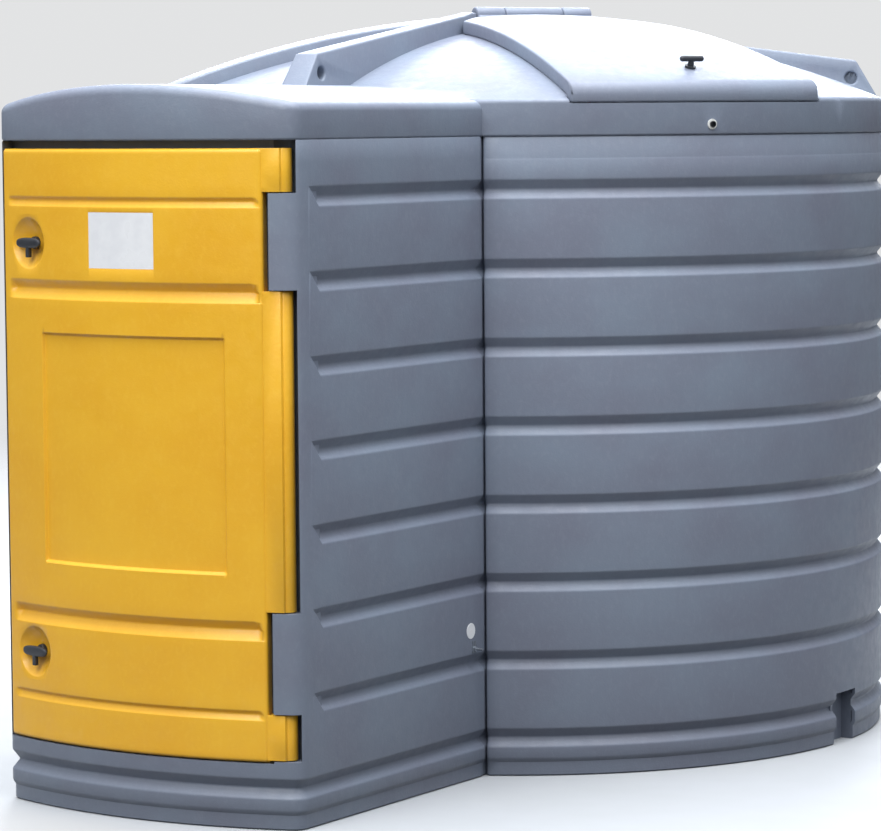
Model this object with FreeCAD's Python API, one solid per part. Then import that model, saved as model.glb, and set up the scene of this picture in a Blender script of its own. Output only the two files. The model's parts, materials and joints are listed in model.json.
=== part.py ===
"""Double-walled diesel tank with an equipment cabinet, in millimetres.

A sealed inner tank stands in a grooved outer tank. One moulded roof cover closes both, with
three lifting ears and a hatch over the filling fittings. The cabinet at the front has a bowed,
hinged door and holds the pump, filter, flow meter and nozzle. The frame is +Z up and the door
faces -Y, with the origin on the floor under the middle of the whole tank.
"""
import FreeCAD, Part
import math
import os

V = FreeCAD.Vector
X, Y, Z = V(1, 0, 0), V(0, 1, 0), V(0, 0, 1)

# Running and seating clearances
RUN_GAP = 0.05  # radial clearance of a pin that turns in its bore
SEAT_GAP = 0.3  # between a moving piece and what it rests on
HOLE_GAP = 0.5  # radial clearance of a bolt in its hole

# Outer form
BODY_R = 1065.0  # radius of the round body
CAB_HALF = 463.0  # half the cabinet's width
CAB_OUT = 769.0  # from the body's radius to the line through the cabinet's front corners
FRONT_BOW = 85.0  # how far the front bows out past that line
CORNER_R = 45.0
SEAM_Z = 1710.0  # where the roof cover meets the outer tank
TANK_WALL = 10.0

# Grooves round the body and along the cabinet's sides
GROOVE_TOP = 140.0  # from the seam down to the first groove
GROOVE_PITCH = 209.5
GROOVE_COUNT = 8
GROOVE_DEPTH = 20.0
GROOVE_UP = 26.0  # height of the flank above a groove's bottom
GROOVE_DOWN = 24.0
GROOVE_START = 55.0  # plain strip between the cabinet's corner and a groove's tip
GROOVE_TAPER = 45.0
CREASE_DEPTH = 20.0  # upright crease where the cabinet's side meets the body
CREASE_HALF = 4.0
NOTCH_WIDTH = 120.0  # upright channels in the base, one on each side
NOTCH_DEPTH = 45.0
NOTCH_TOP_Z = 145.0

# Roof cover
ROOF_WALL = 8.0
ROOF_EDGE = 95.4  # height of the dome's edge over the seam
DOME_RISE = 214.6  # height of the dome over its edge
RIM_R = 15.0
CANOPY_MID = 140.0  # height of the canopy over the seam, in its middle
CANOPY_EDGE = 90.0  # and at its sides
CANOPY_ROUND = 26.0
DECK_RISE = 38.0  # raised decks and hatch over the dome
DECK_RIM_R = 45.0
DECK_START = 114.0  # from the body's axis to a deck's narrow end
DECK_HALF_IN = 300.0
DECK_HALF_OUT = 400.0
HATCH_AZ = -30.0  # direction of the hatch, counted from +X
DECK_TURNS = (120.0, 240.0)  # two blank decks, counted from the hatch
NECK_GAP = 1.0  # between the roof's band and the outer tank's neck
NECK_WALL = 8.0
NECK_HIGH = 70.0

# Bolts through the roof's band
BAND_BOLT_UP = 28.0  # from the seam up to the bolts
BAND_BOLT_R = 5.0
BAND_BOLT_TURNS = (0.0, 120.0, 240.0)
WASHER_R, WASHER_T = 14.0, 2.5
NUT_ACROSS, NUT_T = 17.0, 8.0
HEAD_R, HEAD_T, SOCKET_R = 8.0, 6.0, 4.0

# Lifting ears: end, foot and hole of each, past the body's radius and below the dome's top
EAR_BASE_HALF = 45.0
EAR_TOP_HALF = 28.0
EAR_HOLE_R = 17.75
EAR_FOOT = 70.0  # from the seam up to the ears' widest section
EAR_HEAD = 40.0  # from the dome's top up to the highest point of an ear
EAR_IN_U = 60.0
FRONT_EAR = (35.0, 86.0, 0.151, 105.0, 180.0, 20.0, 138.0)
SIDE_EAR = (-80.0, 103.0, 0.132, -15.0, 215.0, -95.0, 154.0)

# Hatch
HATCH_WALL = 6.0
HATCH_GAP = 1.5
HATCH_ROOM = 4.0  # between the hatch and what stands beside it
HATCH_OPEN_IN = 240.0
HATCH_OPEN_EDGE = 80.0  # from the opening's outer edge to the body's radius
HATCH_OPEN_HALF_IN = 265.0
HATCH_OPEN_HALF_OUT = 335.0
COAMING_RISE = 26.0
COAMING_WALL = 8.0
LEDGE_WIDTH = 30.0
LEDGE = 87.0  # from the seam up to the ledge under the hatch's lip
HATCH_AXIS_U = 88.0
HATCH_AXIS_UP = 35.0  # from the dome's top up to the hinge
HATCH_BARREL_R = 22.0
HATCH_BARREL_HALF = 190.0
HATCH_MID_HALF = 95.0
KNUCKLE_GAP = 2.0  # along the hinge, between two knuckles
HATCH_KNOB_IN = 110.0  # from the handle to the body's radius

# T-shaped handles and their cams
SPINDLE_R = 6.0
KNOB_HUB_R = 15.0
KNOB_HUB_T = 6.0
KNOB_BAR_HALF = 37.0
KNOB_BAR_R = 8.0
DOOR_KNOB_UP = 2.0  # height of the cross bar over the door's face
HATCH_KNOB_UP = 26.0
CAM_T = 4.0
CAM_HALF = 10.0
CAM_END_R = 12.0
CAM_ROOM = 3.0  # between a cam and the frame that it locks behind
DOOR_CAM_LENGTH = 52.0
HATCH_CAM_LENGTH = 58.0

# Door
DOOR_T = 42.0
DOOR_SEAT = 3.0  # gap between the door's back and the cabinet's front frame
DOOR_EDGE_IN = 18.0  # from the cabinet's side to the door's free edge
DOOR_LOW_Z = 170.0
DOOR_DROP = 20.0  # from the seam down to the door's top
DOOR_EDGE_R = 10.0
DOOR_SKIN = 6.0
DOOR_SIDE_GAP = 4.0
AXIS_EDGE = 48.0  # from the cabinet's side to the hinge axis
AXIS_IN = 32.0  # how far it lies behind the bowed front
KNUCKLE_R = 28.0
KNUCKLE_ROOM = 3.0
KNUCKLE_CLEAR_RIGHT = 37.0
PANEL_EDGE = 47.0  # from the hinge axis to the door panel's edge, along the front
BLOCK_EDGE = 32.0  # from the hinge axis to the tank's own hinge blocks
ROD_R = 5.0
DISH_R = 67.5
DISH_DEPTH = 24.0
PANEL_DEPTH = 8.0

# Equipment bay behind the door
BAY_LEFT_IN, BAY_RIGHT_IN = 58.0, 113.0  # from the cabinet's sides
BAY_LIP_LEFT, BAY_LIP_RIGHT = 33.0, 15.0  # frame round the bay's mouth
BAY_LOW, BAY_DROP = 65.0, 70.0  # over the door's foot, and under the seam
BAY_LIP_LOW, BAY_LIP_HIGH = 27.0, 28.0
BAY_TO_TANK = 89.0  # from the bay's back to the inner tank
BAY_WALL = 10.0

# Inner tank and its manhole
INNER_GAP = 60.0  # between the inner tank and the outer form
INNER_WALL = 10.0
INNER_SHOULDER = 230.0  # from the seam down to the inner tank's shoulder
INNER_SHOULDER_R = 130.0
INNER_DROP = 20.0
MAN_IN = 465.0  # from the inner tank's wall to the manhole's axis
MAN_R = 230.0
MAN_BORE_R = 165.0
MAN_UP = 5.0  # from the seam up to the manhole's seat
GASKET_T = 3.0
LID_T = 14.0
LID_BOLT_R = 200.0
LID_BOLTS = 12
LID_BOLT_SHANK_R = 5.0
FIT_U, FIT_V = 80.0, 85.0  # fittings stand at these offsets from the manhole's centre
LID_HOLES = {"fill": 30.0, "gauge": 9.0, "vent": 20.0, "suction": 17.0}

# Fittings on the manhole's lid
FILL_R = 31.0
FILL_UP = 92.0  # height of the filling pipe over the lid
FILL_FOOT_Z = 300.0
FLANGE_T = 10.0
VENT_R, VENT_BORE = 20.0, 17.0
VENT_UP = 128.0
GAUGE_R = 45.0
GAUGE_H = 58.0
DIAL_DEPTH = 16.0
TUBE_R = 8.0
TUBE_IN = 30.0  # how far the guide tube reaches into the gauge's head
FLOAT_R = 36.0
FLOAT_H = 60.0
FLOAT_GAP = 0.4
FLOAT_REST_Z = 90.0

# Pump line in the bay, counted from the pump's ports
PIPE_R, PIPE_BORE, PIPE_BEND = 17.0, 14.0, 44.0
PIPE_HIGH = 80.0  # from the seam up to the suction pipe's level run
SUCTION_FOOT_Z = 110.0
GROMMET_T = 5.0
PORT_OUT = 228.0  # from the bay's back wall to the ports
PORT_Z = 1140.0
PORT_R = 25.0
NIPPLE_R = 15.0
PUMP_HALF = 80.0
PUMP_R = 66.0
PUMP_FRONT = 35.0
PUMP_BACK = 45.0
FILTER_GAP, FILTER_W = 24.0, 86.0
SUCTION_GAP = 65.0
CANISTER_R, CANISTER_H = 46.0, 150.0
CANISTER_DROP = 34.0
MOTOR_R = 58.0
MOTOR_FINS = 20
FIN_T = 3.0
FIN_DEPTH = 12.0
FAN_LENGTH = 34.0
FAN_GAP = 8.0
BOX_OFF, BOX_LENGTH = 69.0, 80.0  # terminal box behind the ports
BOX_UP, BOX_H, BOX_LID_H = 60.0, 48.0, 14.0
BOX_HALF = 42.0
METER_GAP, METER_W = 26.0, 104.0
METER_R = 50.0
METER_FRONT, METER_T = 48.0, 88.0
REGISTER_T = 42.0
TAIL_GAP = 52.0
TAIL_R = 12.5
TAIL_DROP = 74.0
TAIL_LENGTH = 60.0

# Bracket on the bay's back wall
PLATE_T = 4.0
PLATE_HALF = 230.0
PLATE_LOW, PLATE_HIGH = 140.0, 150.0  # under and over the ports
SHELF_DROP = 78.0
SHELF_HALF = 85.0
SHELF_OUT = 190.0
PLATE_BOLT_R = 4.0
PLATE_BOLT_IN = 30.0  # from the plate's side edges
PLATE_BOLT_LOW = 25.0  # from its foot and its top

# Nozzle and its holder
NOZZLE_IN = 53.0  # from the bay's left wall
NOZZLE_OUT = 238.0  # from the bay's back wall
HOLDER_Z = (900.0, 1005.0)
SPOUT_R = 12.0
SPOUT_ROOM = 5.0
SPOUT_DOWN, SPOUT_UP = 90.0, 30.0
GRIP_R, CASING_R, GUARD_R = 17.0, 24.0, 5.0
TRIGGER_T = 14.0
TRIGGER_PIN_R = 3.0

# Earthing stud
EARTH_BACK = 814.0  # from the cabinet's front corner line
EARTH_Z = 352.0
STUD_R = 4.0
STUD_OUT = 28.0
STUD_NUT = 13.0

# Derived places
CAB_REACH = BODY_R + CAB_OUT
LENGTH = BODY_R + CAB_REACH + FRONT_BOW
BODY_Y = LENGTH / 2 - BODY_R
CORNER_Y = BODY_Y - CAB_REACH
FRONT_R = (CAB_HALF ** 2 + FRONT_BOW ** 2) / (2 * FRONT_BOW)
FRONT_CY = CORNER_Y - FRONT_BOW + FRONT_R
GROOVE_TOP_Z = SEAM_Z - GROOVE_TOP
DOME_TOP_Z = SEAM_Z + ROOF_EDGE + DOME_RISE
DOME_R = (BODY_R ** 2 + DOME_RISE ** 2) / (2 * DOME_RISE)
DOME_CZ = DOME_TOP_Z - DOME_R
CANOPY_MID_Z, CANOPY_EDGE_Z = SEAM_Z + CANOPY_MID, SEAM_Z + CANOPY_EDGE
NECK_TOP_Z = SEAM_Z + NECK_HIGH
NECK_INNER_R = BODY_R - ROOF_WALL - NECK_GAP - NECK_WALL
BAND_BOLT_Z = SEAM_Z + BAND_BOLT_UP
EAR_FOOT_Z, EAR_HEAD_Z = SEAM_Z + EAR_FOOT, DOME_TOP_Z + EAR_HEAD
EAR_TOPS = {turn: (BODY_R + e[0], DOME_TOP_Z - e[1], e[2], BODY_R + e[3], DOME_TOP_Z - e[4],
                   BODY_R + e[5], DOME_TOP_Z - e[6])
            for turn, e in ((-90.0, FRONT_EAR), (30.0, SIDE_EAR), (150.0, SIDE_EAR))}
HATCH_OPEN_OUT = BODY_R - HATCH_OPEN_EDGE
LEDGE_Z = SEAM_Z + LEDGE
HATCH_AXIS_Z = DOME_TOP_Z + HATCH_AXIS_UP
HATCH_KNOB_U = BODY_R - HATCH_KNOB_IN
DOOR_HIGH_Z = SEAM_Z - DOOR_DROP
DOOR_LEFT = DOOR_EDGE_IN - CAB_HALF
AXIS_X = CAB_HALF - AXIS_EDGE
AXIS_TURN = math.degrees(math.asin(AXIS_X / (FRONT_R - AXIS_IN)))
AXIS_Y = FRONT_CY - (FRONT_R - AXIS_IN) * math.cos(math.radians(AXIS_TURN))
DOOR_KNUCKLES = ((DOOR_LOW_Z + 5, DOOR_LOW_Z + 118), (DOOR_LOW_Z + 375, DOOR_HIGH_Z - 351),
                 (DOOR_HIGH_Z - 107, DOOR_HIGH_Z))
KNOB_X = DOOR_LEFT + 105
KNOB_Z = (DOOR_HIGH_Z - 240, DOOR_LOW_Z + 229)
PANEL_X = (DOOR_LEFT + 155, AXIS_X - 132)
PANEL_Z = (DOOR_LOW_Z + 464, DOOR_HIGH_Z - 465)
DOOR_GROOVE_X = (DOOR_LEFT + 35, AXIS_X - 62)
# height of each groove's bottom, rise of its upper flank, drop of its lower flank, depth
DOOR_GROOVES = ((DOOR_HIGH_Z - 130, 9.0, 16.0, 9.0), (DOOR_HIGH_Z - 354, 22.0, 27.0, 18.0),
                (DOOR_LOW_Z + 330, 22.0, 27.0, 18.0), (DOOR_LOW_Z + 120, 9.0, 16.0, 9.0))
POCKET_IN = DOOR_T + DOOR_SEAT
DOOR_CAM_BACK = -(POCKET_IN + TANK_WALL + CAM_ROOM + CAM_T)
HATCH_CAM_BACK = -(DECK_RISE + ROOF_WALL + 8 + CAM_T)
INNER_R = BODY_R - INNER_GAP
INNER_SHOULDER_Z, INNER_TOP_Z = SEAM_Z - INNER_SHOULDER, SEAM_Z - INNER_DROP
MAN_U = INNER_R - MAN_IN
MAN_TOP_Z = SEAM_Z + MAN_UP
LID_TOP_Z = MAN_TOP_Z + GASKET_T + LID_T
BAY_X = (BAY_LEFT_IN - CAB_HALF, CAB_HALF - BAY_RIGHT_IN)
BAY_MOUTH_X = (BAY_X[0] + BAY_LIP_LEFT, BAY_X[1] - BAY_LIP_RIGHT)
BAY_Z = (DOOR_LOW_Z + BAY_LOW, SEAM_Z - BAY_DROP)
BAY_MOUTH_Z = (BAY_Z[0] + BAY_LIP_LOW, BAY_Z[1] - BAY_LIP_HIGH)
BAY_BACK_Y = BODY_Y - INNER_R - BAY_TO_TANK
PORT_Y = BAY_BACK_Y - PORT_OUT
PIPE_HIGH_Z = SEAM_Z + PIPE_HIGH
FILTER_X = (-PUMP_HALF - FILTER_GAP - FILTER_W, -PUMP_HALF - FILTER_GAP)
SUCTION_X = FILTER_X[0] - SUCTION_GAP
METER_X = (PUMP_HALF + METER_GAP, PUMP_HALF + METER_GAP + METER_W)
METER_MID = (METER_X[0] + METER_X[1]) / 2
REGISTER_Y = PORT_Y - METER_FRONT - REGISTER_T
TAIL_X = METER_X[1] + TAIL_GAP
PLATE_Y = BAY_BACK_Y - PLATE_T
PLATE_Z = (PORT_Z - PLATE_LOW, PORT_Z + PLATE_HIGH)
PLATE_BOLTS = [(side * (PLATE_HALF - PLATE_BOLT_IN), z) for side in (-1, 1)
               for z in (PLATE_Z[0] + PLATE_BOLT_LOW, PLATE_Z[1] - PLATE_BOLT_LOW)]
SHELF_Z = PORT_Z - SHELF_DROP
BOX_Y = (PORT_Y + BOX_OFF, PORT_Y + BOX_OFF + BOX_LENGTH)
BOX_Z = (PORT_Z + BOX_UP, PORT_Z + BOX_UP + BOX_H)
SWITCH_Z = (BOX_Z[0] + BOX_Z[1]) / 2
NOZZLE_X, NOZZLE_Y = BAY_X[0] + NOZZLE_IN, BAY_BACK_Y - NOZZLE_OUT
EARTH_Y = CORNER_Y + EARTH_BACK


def box(x0, x1, y0, y1, z0, z1):
    """Block between two opposite corners."""
    return Part.makeBox(x1 - x0, y1 - y0, z1 - z0, V(x0, y0, z0))


def rod(radius, length, start, along=Z):
    """Round bar of a length from a start point."""
    return Part.makeCylinder(radius, length, start, along)


def ring(outer, inner, length, start, along=Z):
    """Round tube or washer."""
    return rod(outer, length, start, along).cut(rod(inner, length, start, along))


def hexagon(across, length, start, along=Z):
    """Hexagonal bar, measured across its flats."""
    r = across / math.sqrt(3)
    turns = [math.radians(60 * i) for i in range(7)]
    points = [V(r * math.cos(a), r * math.sin(a), 0) for a in turns]
    bar = Part.Face(Part.makePolygon(points)).extrude(V(0, 0, length))
    bar.Placement = FreeCAD.Placement(start, FreeCAD.Rotation(Z, along))
    return bar


def turned(points, centre=V(0, 0, 0)):
    """Solid of revolution about an upright axis, from a list of (radius, height)."""
    face = Part.Face(Part.makePolygon([V(r, 0, z) for r, z in points + points[:1]]))
    solid = face.revolve(V(0, 0, 0), Z, 360)
    solid.translate(centre)
    return solid


def joined(shapes):
    """All shapes fused to one, with coplanar faces merged."""
    shapes = list(shapes)
    return shapes[0].multiFuse(shapes[1:]).removeSplitter() if len(shapes) > 1 else shapes[0]


def group(shapes):
    """Several like pieces kept as separate solids of one node."""
    return Part.makeCompound([s for shape in shapes for s in shape.Solids])


def bent_bar(points, radius, bend):
    """Round bar along straight runs, with an arc of one radius at each inner point."""
    pieces, start = [], points[0]
    for before, at, after in zip(points, points[1:], points[2:]):
        into, out = (at - before).normalize(), (after - at).normalize()
        turn = into.getAngle(out)
        back = bend * math.tan(turn / 2)
        first, last = at - into * back, at + out * back
        centre = first + (out - into * into.dot(out)).normalize() * bend
        disc = Part.Face(Part.Wire(Part.makeCircle(radius, first, into)))
        pieces.append(rod(radius, (first - start).Length, start, into))
        pieces.append(disc.revolve(centre, into.cross(out), math.degrees(turn)))
        start = last
    pieces.append(rod(radius, (points[-1] - start).Length, start, points[-1] - start))
    return joined(pieces)


def bent_tube(points, radius, bore, bend):
    """Bent bar with a bore all the way through."""
    return bent_bar(points, radius, bend).cut(bent_bar(points, bore, bend))


def at_front(shape, x, z, depth=0.0):
    """Moves a shape whose +Z points out of the door to its place on the bowed front."""
    lean = math.degrees(math.asin(x / FRONT_R))
    outward = V(math.sin(math.radians(lean)), -math.cos(math.radians(lean)), 0)
    side = V(math.cos(math.radians(lean)), math.sin(math.radians(lean)), 0)
    place = V(0, FRONT_CY, z) + outward * (FRONT_R - depth)
    turn = FreeCAD.Rotation(side, V(0, 0, 1), outward, "ZXY")
    moved = shape.copy()
    moved.Placement = FreeCAD.Placement(place, turn).multiply(moved.Placement)
    return moved


def by_axis(t0, t1, n0, n1, z0, z1):
    """Block beside the door's hinge axis: t runs along the front, n inwards from its surface."""
    block = box(t0, t1, n0 - AXIS_IN, n1 - AXIS_IN, z0, z1)
    block.rotate(V(0, 0, 0), Z, AXIS_TURN)
    block.translate(V(AXIS_X, AXIS_Y, 0))
    return block


def by_hatch(shape, turn=0.0):
    """Turns a shape made with +X outwards about the body's axis to the hatch's direction."""
    moved = shape.copy()
    moved.rotate(V(0, 0, 0), Z, HATCH_AZ + turn)
    moved.translate(V(0, BODY_Y, 0))
    return moved


def dome_z(u, rise=0.0):
    """Height of the dome at a distance from the body's axis."""
    return DOME_CZ + math.sqrt((DOME_R + rise) ** 2 - u ** 2)


def bow_layer(inner_in, outer_in, x0, x1, z0, z1):
    """Layer behind the bowed front between two depths, two widths and two heights."""
    layer = rod(FRONT_R - outer_in, z1 - z0, V(0, FRONT_CY, z0))
    layer = layer.cut(rod(FRONT_R - inner_in, z1 - z0, V(0, FRONT_CY, z0)))
    return layer.common(box(x0, x1, CORNER_Y - 3 * FRONT_BOW, BODY_Y, z0, z1))


def bow_sweep(profile, start, sweep):
    """Sweeps a closed (radius, height) profile along the bowed front by angles from its middle."""
    face = Part.Face(Part.makePolygon([V(0, -r, z) for r, z in profile + profile[:1]]))
    face.rotate(V(0, 0, 0), Z, start)
    solid = face.revolve(V(0, 0, 0), Z, sweep)
    solid.translate(V(0, FRONT_CY, 0))
    return solid


def cabinet_wire(side_in, front_in, z):
    """Closed plan of the cabinet, bowed in front, with round corners, back to the body's axis."""
    half, front = CAB_HALF - side_in, FRONT_R - front_in
    corner = max(CORNER_R - max(side_in, front_in), TANK_WALL / 2)
    cx = half - corner
    cy = FRONT_CY - math.sqrt((front - corner) ** 2 - cx ** 2)
    share = front / (front - corner)
    tx, ty = cx * share, FRONT_CY + (cy - FRONT_CY) * share
    toward = V(half - cx + tx - cx, cy - cy + ty - cy, 0).normalize() * corner
    mx, my = cx + toward.x, cy + toward.y
    right = [V(half, BODY_Y, z), V(half, cy, z), V(mx, my, z), V(tx, ty, z)]
    left = [V(-p.x, p.y, p.z) for p in right]
    return Part.Wire([
        Part.makeLine(left[0], right[0]), Part.makeLine(right[0], right[1]),
        Part.Arc(right[1], right[2], right[3]).toShape(),
        Part.Arc(right[3], V(0, FRONT_CY - front, z), left[3]).toShape(),
        Part.Arc(left[3], left[2], left[1]).toShape(), Part.makeLine(left[1], left[0])])


def cabinet_block(side_in, front_in, z0, z1):
    """Cabinet's plan raised between two heights."""
    return Part.Face(cabinet_wire(side_in, front_in, z0)).extrude(V(0, 0, z1 - z0))


def plan_block(inset, z0, z1):
    """Body and cabinet together, plain, between two heights."""
    body = rod(BODY_R - inset, z1 - z0, V(0, BODY_Y, z0))
    return joined([body, cabinet_block(inset, inset, z0, z1)])


def side_groove(side, z, inset):
    """Cutter for one tapered groove along a side of the cabinet."""
    face_x, deep_x = side * (CAB_HALF - inset + 1), side * (CAB_HALF - inset - GROOVE_DEPTH)

    def section(y):
        return Part.makePolygon([V(face_x, y, z + GROOVE_UP), V(deep_x, y, z),
                                 V(face_x, y, z - GROOVE_DOWN), V(face_x, y, z + GROOVE_UP)])
    tip = Part.Vertex(face_x, CORNER_Y + GROOVE_START, z)
    full_y = CORNER_Y + GROOVE_START + GROOVE_TAPER
    taper = Part.makeLoft([tip, section(full_y)], True, True)
    run = Part.Face(section(full_y)).extrude(V(0, BODY_Y - full_y, 0))
    return [taper, run]


def outer_form(inset):
    """Outer tank as a solid, with its grooves, from the floor up to the seam."""
    edge, deep, top = BODY_R - inset, BODY_R - inset - GROOVE_DEPTH, SEAM_Z + inset
    heights = [GROOVE_TOP_Z - GROOVE_PITCH * k for k in range(GROOVE_COUNT)]
    profile = [(0, inset), (edge, inset)]
    for z in reversed(heights):
        profile += [(edge, z - GROOVE_DOWN), (deep, z), (edge, z + GROOVE_UP)]
    body = turned(profile + [(edge, top), (0, top)], V(0, BODY_Y, 0))
    low, within = heights[-1], inset + GROOVE_DEPTH
    base = [cabinet_wire(inset, inset, inset), cabinet_wire(inset, inset, low - GROOVE_DOWN),
            cabinet_wire(within, within, low), cabinet_wire(inset, inset, low + GROOVE_UP)]
    steps = [Part.makeLoft([a, b], True, True) for a, b in zip(base, base[1:])]
    cabinet = joined(steps + [cabinet_block(inset, inset, low + GROOVE_UP, top)])
    cutters = [piece for z in heights[:-1] for side in (-1, 1) for piece in side_groove(side, z, inset)]
    return joined([body, cabinet.cut(cutters)]).cut([crease(s, inset) for s in (-1, 1)])


def crease(side, inset):
    """Cutter for the upright crease between the cabinet's side and the body."""
    half = CAB_HALF - inset
    meet_y = BODY_Y - math.sqrt((BODY_R - inset) ** 2 - half ** 2)
    inward, across = V(-side * 0.5, 0.866, 0), V(0.866, side * 0.5, 0)
    at = V(side * half, meet_y, 0)
    mouth = at - inward * CREASE_HALF
    points = [mouth + across * 2 * CREASE_HALF, mouth - across * 2 * CREASE_HALF,
              at + inward * CREASE_DEPTH]
    return Part.Face(Part.makePolygon(points + points[:1])).extrude(V(0, 0, SEAM_Z + inset))


def base_notch(side, grow=0.0):
    """Upright channel in the base, in the middle of a side."""
    inner = side * (BODY_R - NOTCH_DEPTH - grow)
    outer = side * (BODY_R + 10)
    half = NOTCH_WIDTH / 2 + grow
    return box(min(inner, outer), max(inner, outer), BODY_Y - half, BODY_Y + half, -1, NOTCH_TOP_Z + grow)


def knuckle_rooms():
    """Spaces in the tank's hinge column for the door's knuckles."""
    rooms = []
    for z0, z1 in DOOR_KNUCKLES:
        low, high = z0 - KNUCKLE_ROOM, min(z1 + KNUCKLE_ROOM, SEAM_Z)
        rooms += [by_axis(-BLOCK_EDGE - 1, 0, -1, POCKET_IN, low, high),
                  by_axis(-BLOCK_EDGE - 1, KNUCKLE_CLEAR_RIGHT, -1 - FRONT_BOW, AXIS_IN, low, high),
                  rod(KNUCKLE_R + KNUCKLE_ROOM, high - low, V(AXIS_X, AXIS_Y, low))]
    return rooms


def outer_tank():
    """Outer tank: one hollow moulding with the equipment bay, the door's seat and a neck."""
    seat_low, back_in = DOOR_LOW_Z - DOOR_SEAT - TANK_WALL, POCKET_IN + TANK_WALL
    front_zone = bow_layer(back_in, -FRONT_BOW, -CAB_HALF, CAB_HALF, seat_low, SEAM_Z + TANK_WALL)
    bay_shell = box(BAY_X[0] - BAY_WALL, BAY_X[1] + BAY_WALL, CORNER_Y - FRONT_BOW,
                    BAY_BACK_Y + BAY_WALL, BAY_Z[0] - BAY_WALL, BAY_Z[1] + BAY_WALL)
    column = by_axis(-BLOCK_EDGE - TANK_WALL, CAB_HALF, -FRONT_BOW,
                     AXIS_IN + KNUCKLE_R + KNUCKLE_ROOM + TANK_WALL, seat_low, SEAM_Z + TANK_WALL)
    cavity = outer_form(TANK_WALL).cut([front_zone, bay_shell, column]
                                       + [base_notch(s, TANK_WALL) for s in (-1, 1)])
    bay = box(BAY_X[0], BAY_X[1], CORNER_Y - FRONT_BOW, BAY_BACK_Y, BAY_Z[0], BAY_Z[1])
    bay = bay.common(cabinet_block(TANK_WALL, back_in, 0, SEAM_Z))
    mouth = box(BAY_MOUTH_X[0], BAY_MOUTH_X[1], CORNER_Y - FRONT_BOW - 1, BAY_BACK_Y - 1,
                BAY_MOUTH_Z[0], BAY_MOUTH_Z[1])
    shell = outer_form(0).cut([cavity, bay, mouth, door_pocket(SEAM_Z)] + knuckle_rooms()
                              + [base_notch(s) for s in (-1, 1)])
    holes = [hinge_bore(), ceiling_hole(), earth_hole()] + neck_bores() + bracket_holes(BAY_WALL)
    return joined([shell, neck()]).cut(holes)


def door_pocket(high_z):
    """Space that the closed door lies in, up to the hinge column."""
    pocket = bow_layer(POCKET_IN, -FRONT_BOW, DOOR_LEFT - DOOR_SIDE_GAP, AXIS_X,
                       DOOR_LOW_Z - DOOR_SEAT, high_z)
    return pocket.cut(by_axis(-BLOCK_EDGE, CAB_HALF, -2 * FRONT_BOW, 2 * FRONT_BOW, 0, high_z))


def neck():
    """Neck round the top of the outer tank, which the roof's band drops over."""
    inset = ROOF_WALL + NECK_GAP
    ledge = plan_block(0, SEAM_Z - TANK_WALL, SEAM_Z).cut(plan_block(inset + NECK_WALL, 0, SEAM_Z))
    wall = plan_block(inset, SEAM_Z, NECK_TOP_Z).cut(plan_block(inset + NECK_WALL, SEAM_Z, NECK_TOP_Z))
    lintel = cabinet_block(inset, inset, SEAM_Z, SEAM_Z + TANK_WALL)
    lintel = lintel.cut(cabinet_block(inset, POCKET_IN + TANK_WALL, SEAM_Z, SEAM_Z + TANK_WALL))
    return joined([ledge.cut([door_pocket(SEAM_Z)] + knuckle_rooms()), wall, lintel])


def hinge_bore():
    """Bore for the door's hinge rod through the tank's own hinge blocks."""
    return rod(ROD_R + RUN_GAP, DOOR_HIGH_Z - DOOR_LOW_Z, V(AXIS_X, AXIS_Y, DOOR_LOW_Z))


def band_bolt_frames():
    """Direction of each roof bolt, counted from the hatch."""
    return [math.radians(HATCH_AZ + t) for t in BAND_BOLT_TURNS]


def neck_bores():
    """Holes for the roof bolts through the band and the neck."""
    return [rod(BAND_BOLT_R + HOLE_GAP, BODY_R / 4, V(0.85 * BODY_R * math.cos(a),
            BODY_Y + 0.85 * BODY_R * math.sin(a), BAND_BOLT_Z), V(math.cos(a), math.sin(a), 0))
            for a in band_bolt_frames()]


def on_band(shape, angle, radius):
    """Moves a shape whose +Z points outwards onto the roof's band."""
    out = V(math.cos(angle), math.sin(angle), 0)
    moved = shape.copy()
    moved.Placement = FreeCAD.Placement(V(0, BODY_Y, BAND_BOLT_Z) + out * radius, FreeCAD.Rotation(Z, out))
    return moved


def roof_washers():
    """Wide washers under the heads of the roof bolts."""
    disc = ring(WASHER_R, BAND_BOLT_R + RUN_GAP, WASHER_T, V(0, 0, 0))
    return group([on_band(disc, a, BODY_R + 0.3) for a in band_bolt_frames()])


def roof_bolts():
    """Cap-head bolts that hold the roof cover on the neck."""
    shank = BODY_R - NECK_INNER_R + WASHER_T + NUT_T + 4
    bolt = joined([rod(BAND_BOLT_R, shank, V(0, 0, -shank)), rod(HEAD_R, HEAD_T, V(0, 0, 0))])
    bolt = bolt.cut(hexagon(2 * SOCKET_R, HEAD_T - 2, V(0, 0, 2)))
    return group([on_band(bolt, a, BODY_R + WASHER_T + 0.3) for a in band_bolt_frames()])


def roof_nuts():
    """Nuts of the roof bolts, on the inside of the neck."""
    nut = hexagon(NUT_ACROSS, NUT_T, V(0, 0, -NUT_T)).cut(rod(BAND_BOLT_R, NUT_T, V(0, 0, -NUT_T)))
    return group([on_band(nut, a, NECK_INNER_R - 0.8) for a in band_bolt_frames()])


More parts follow.
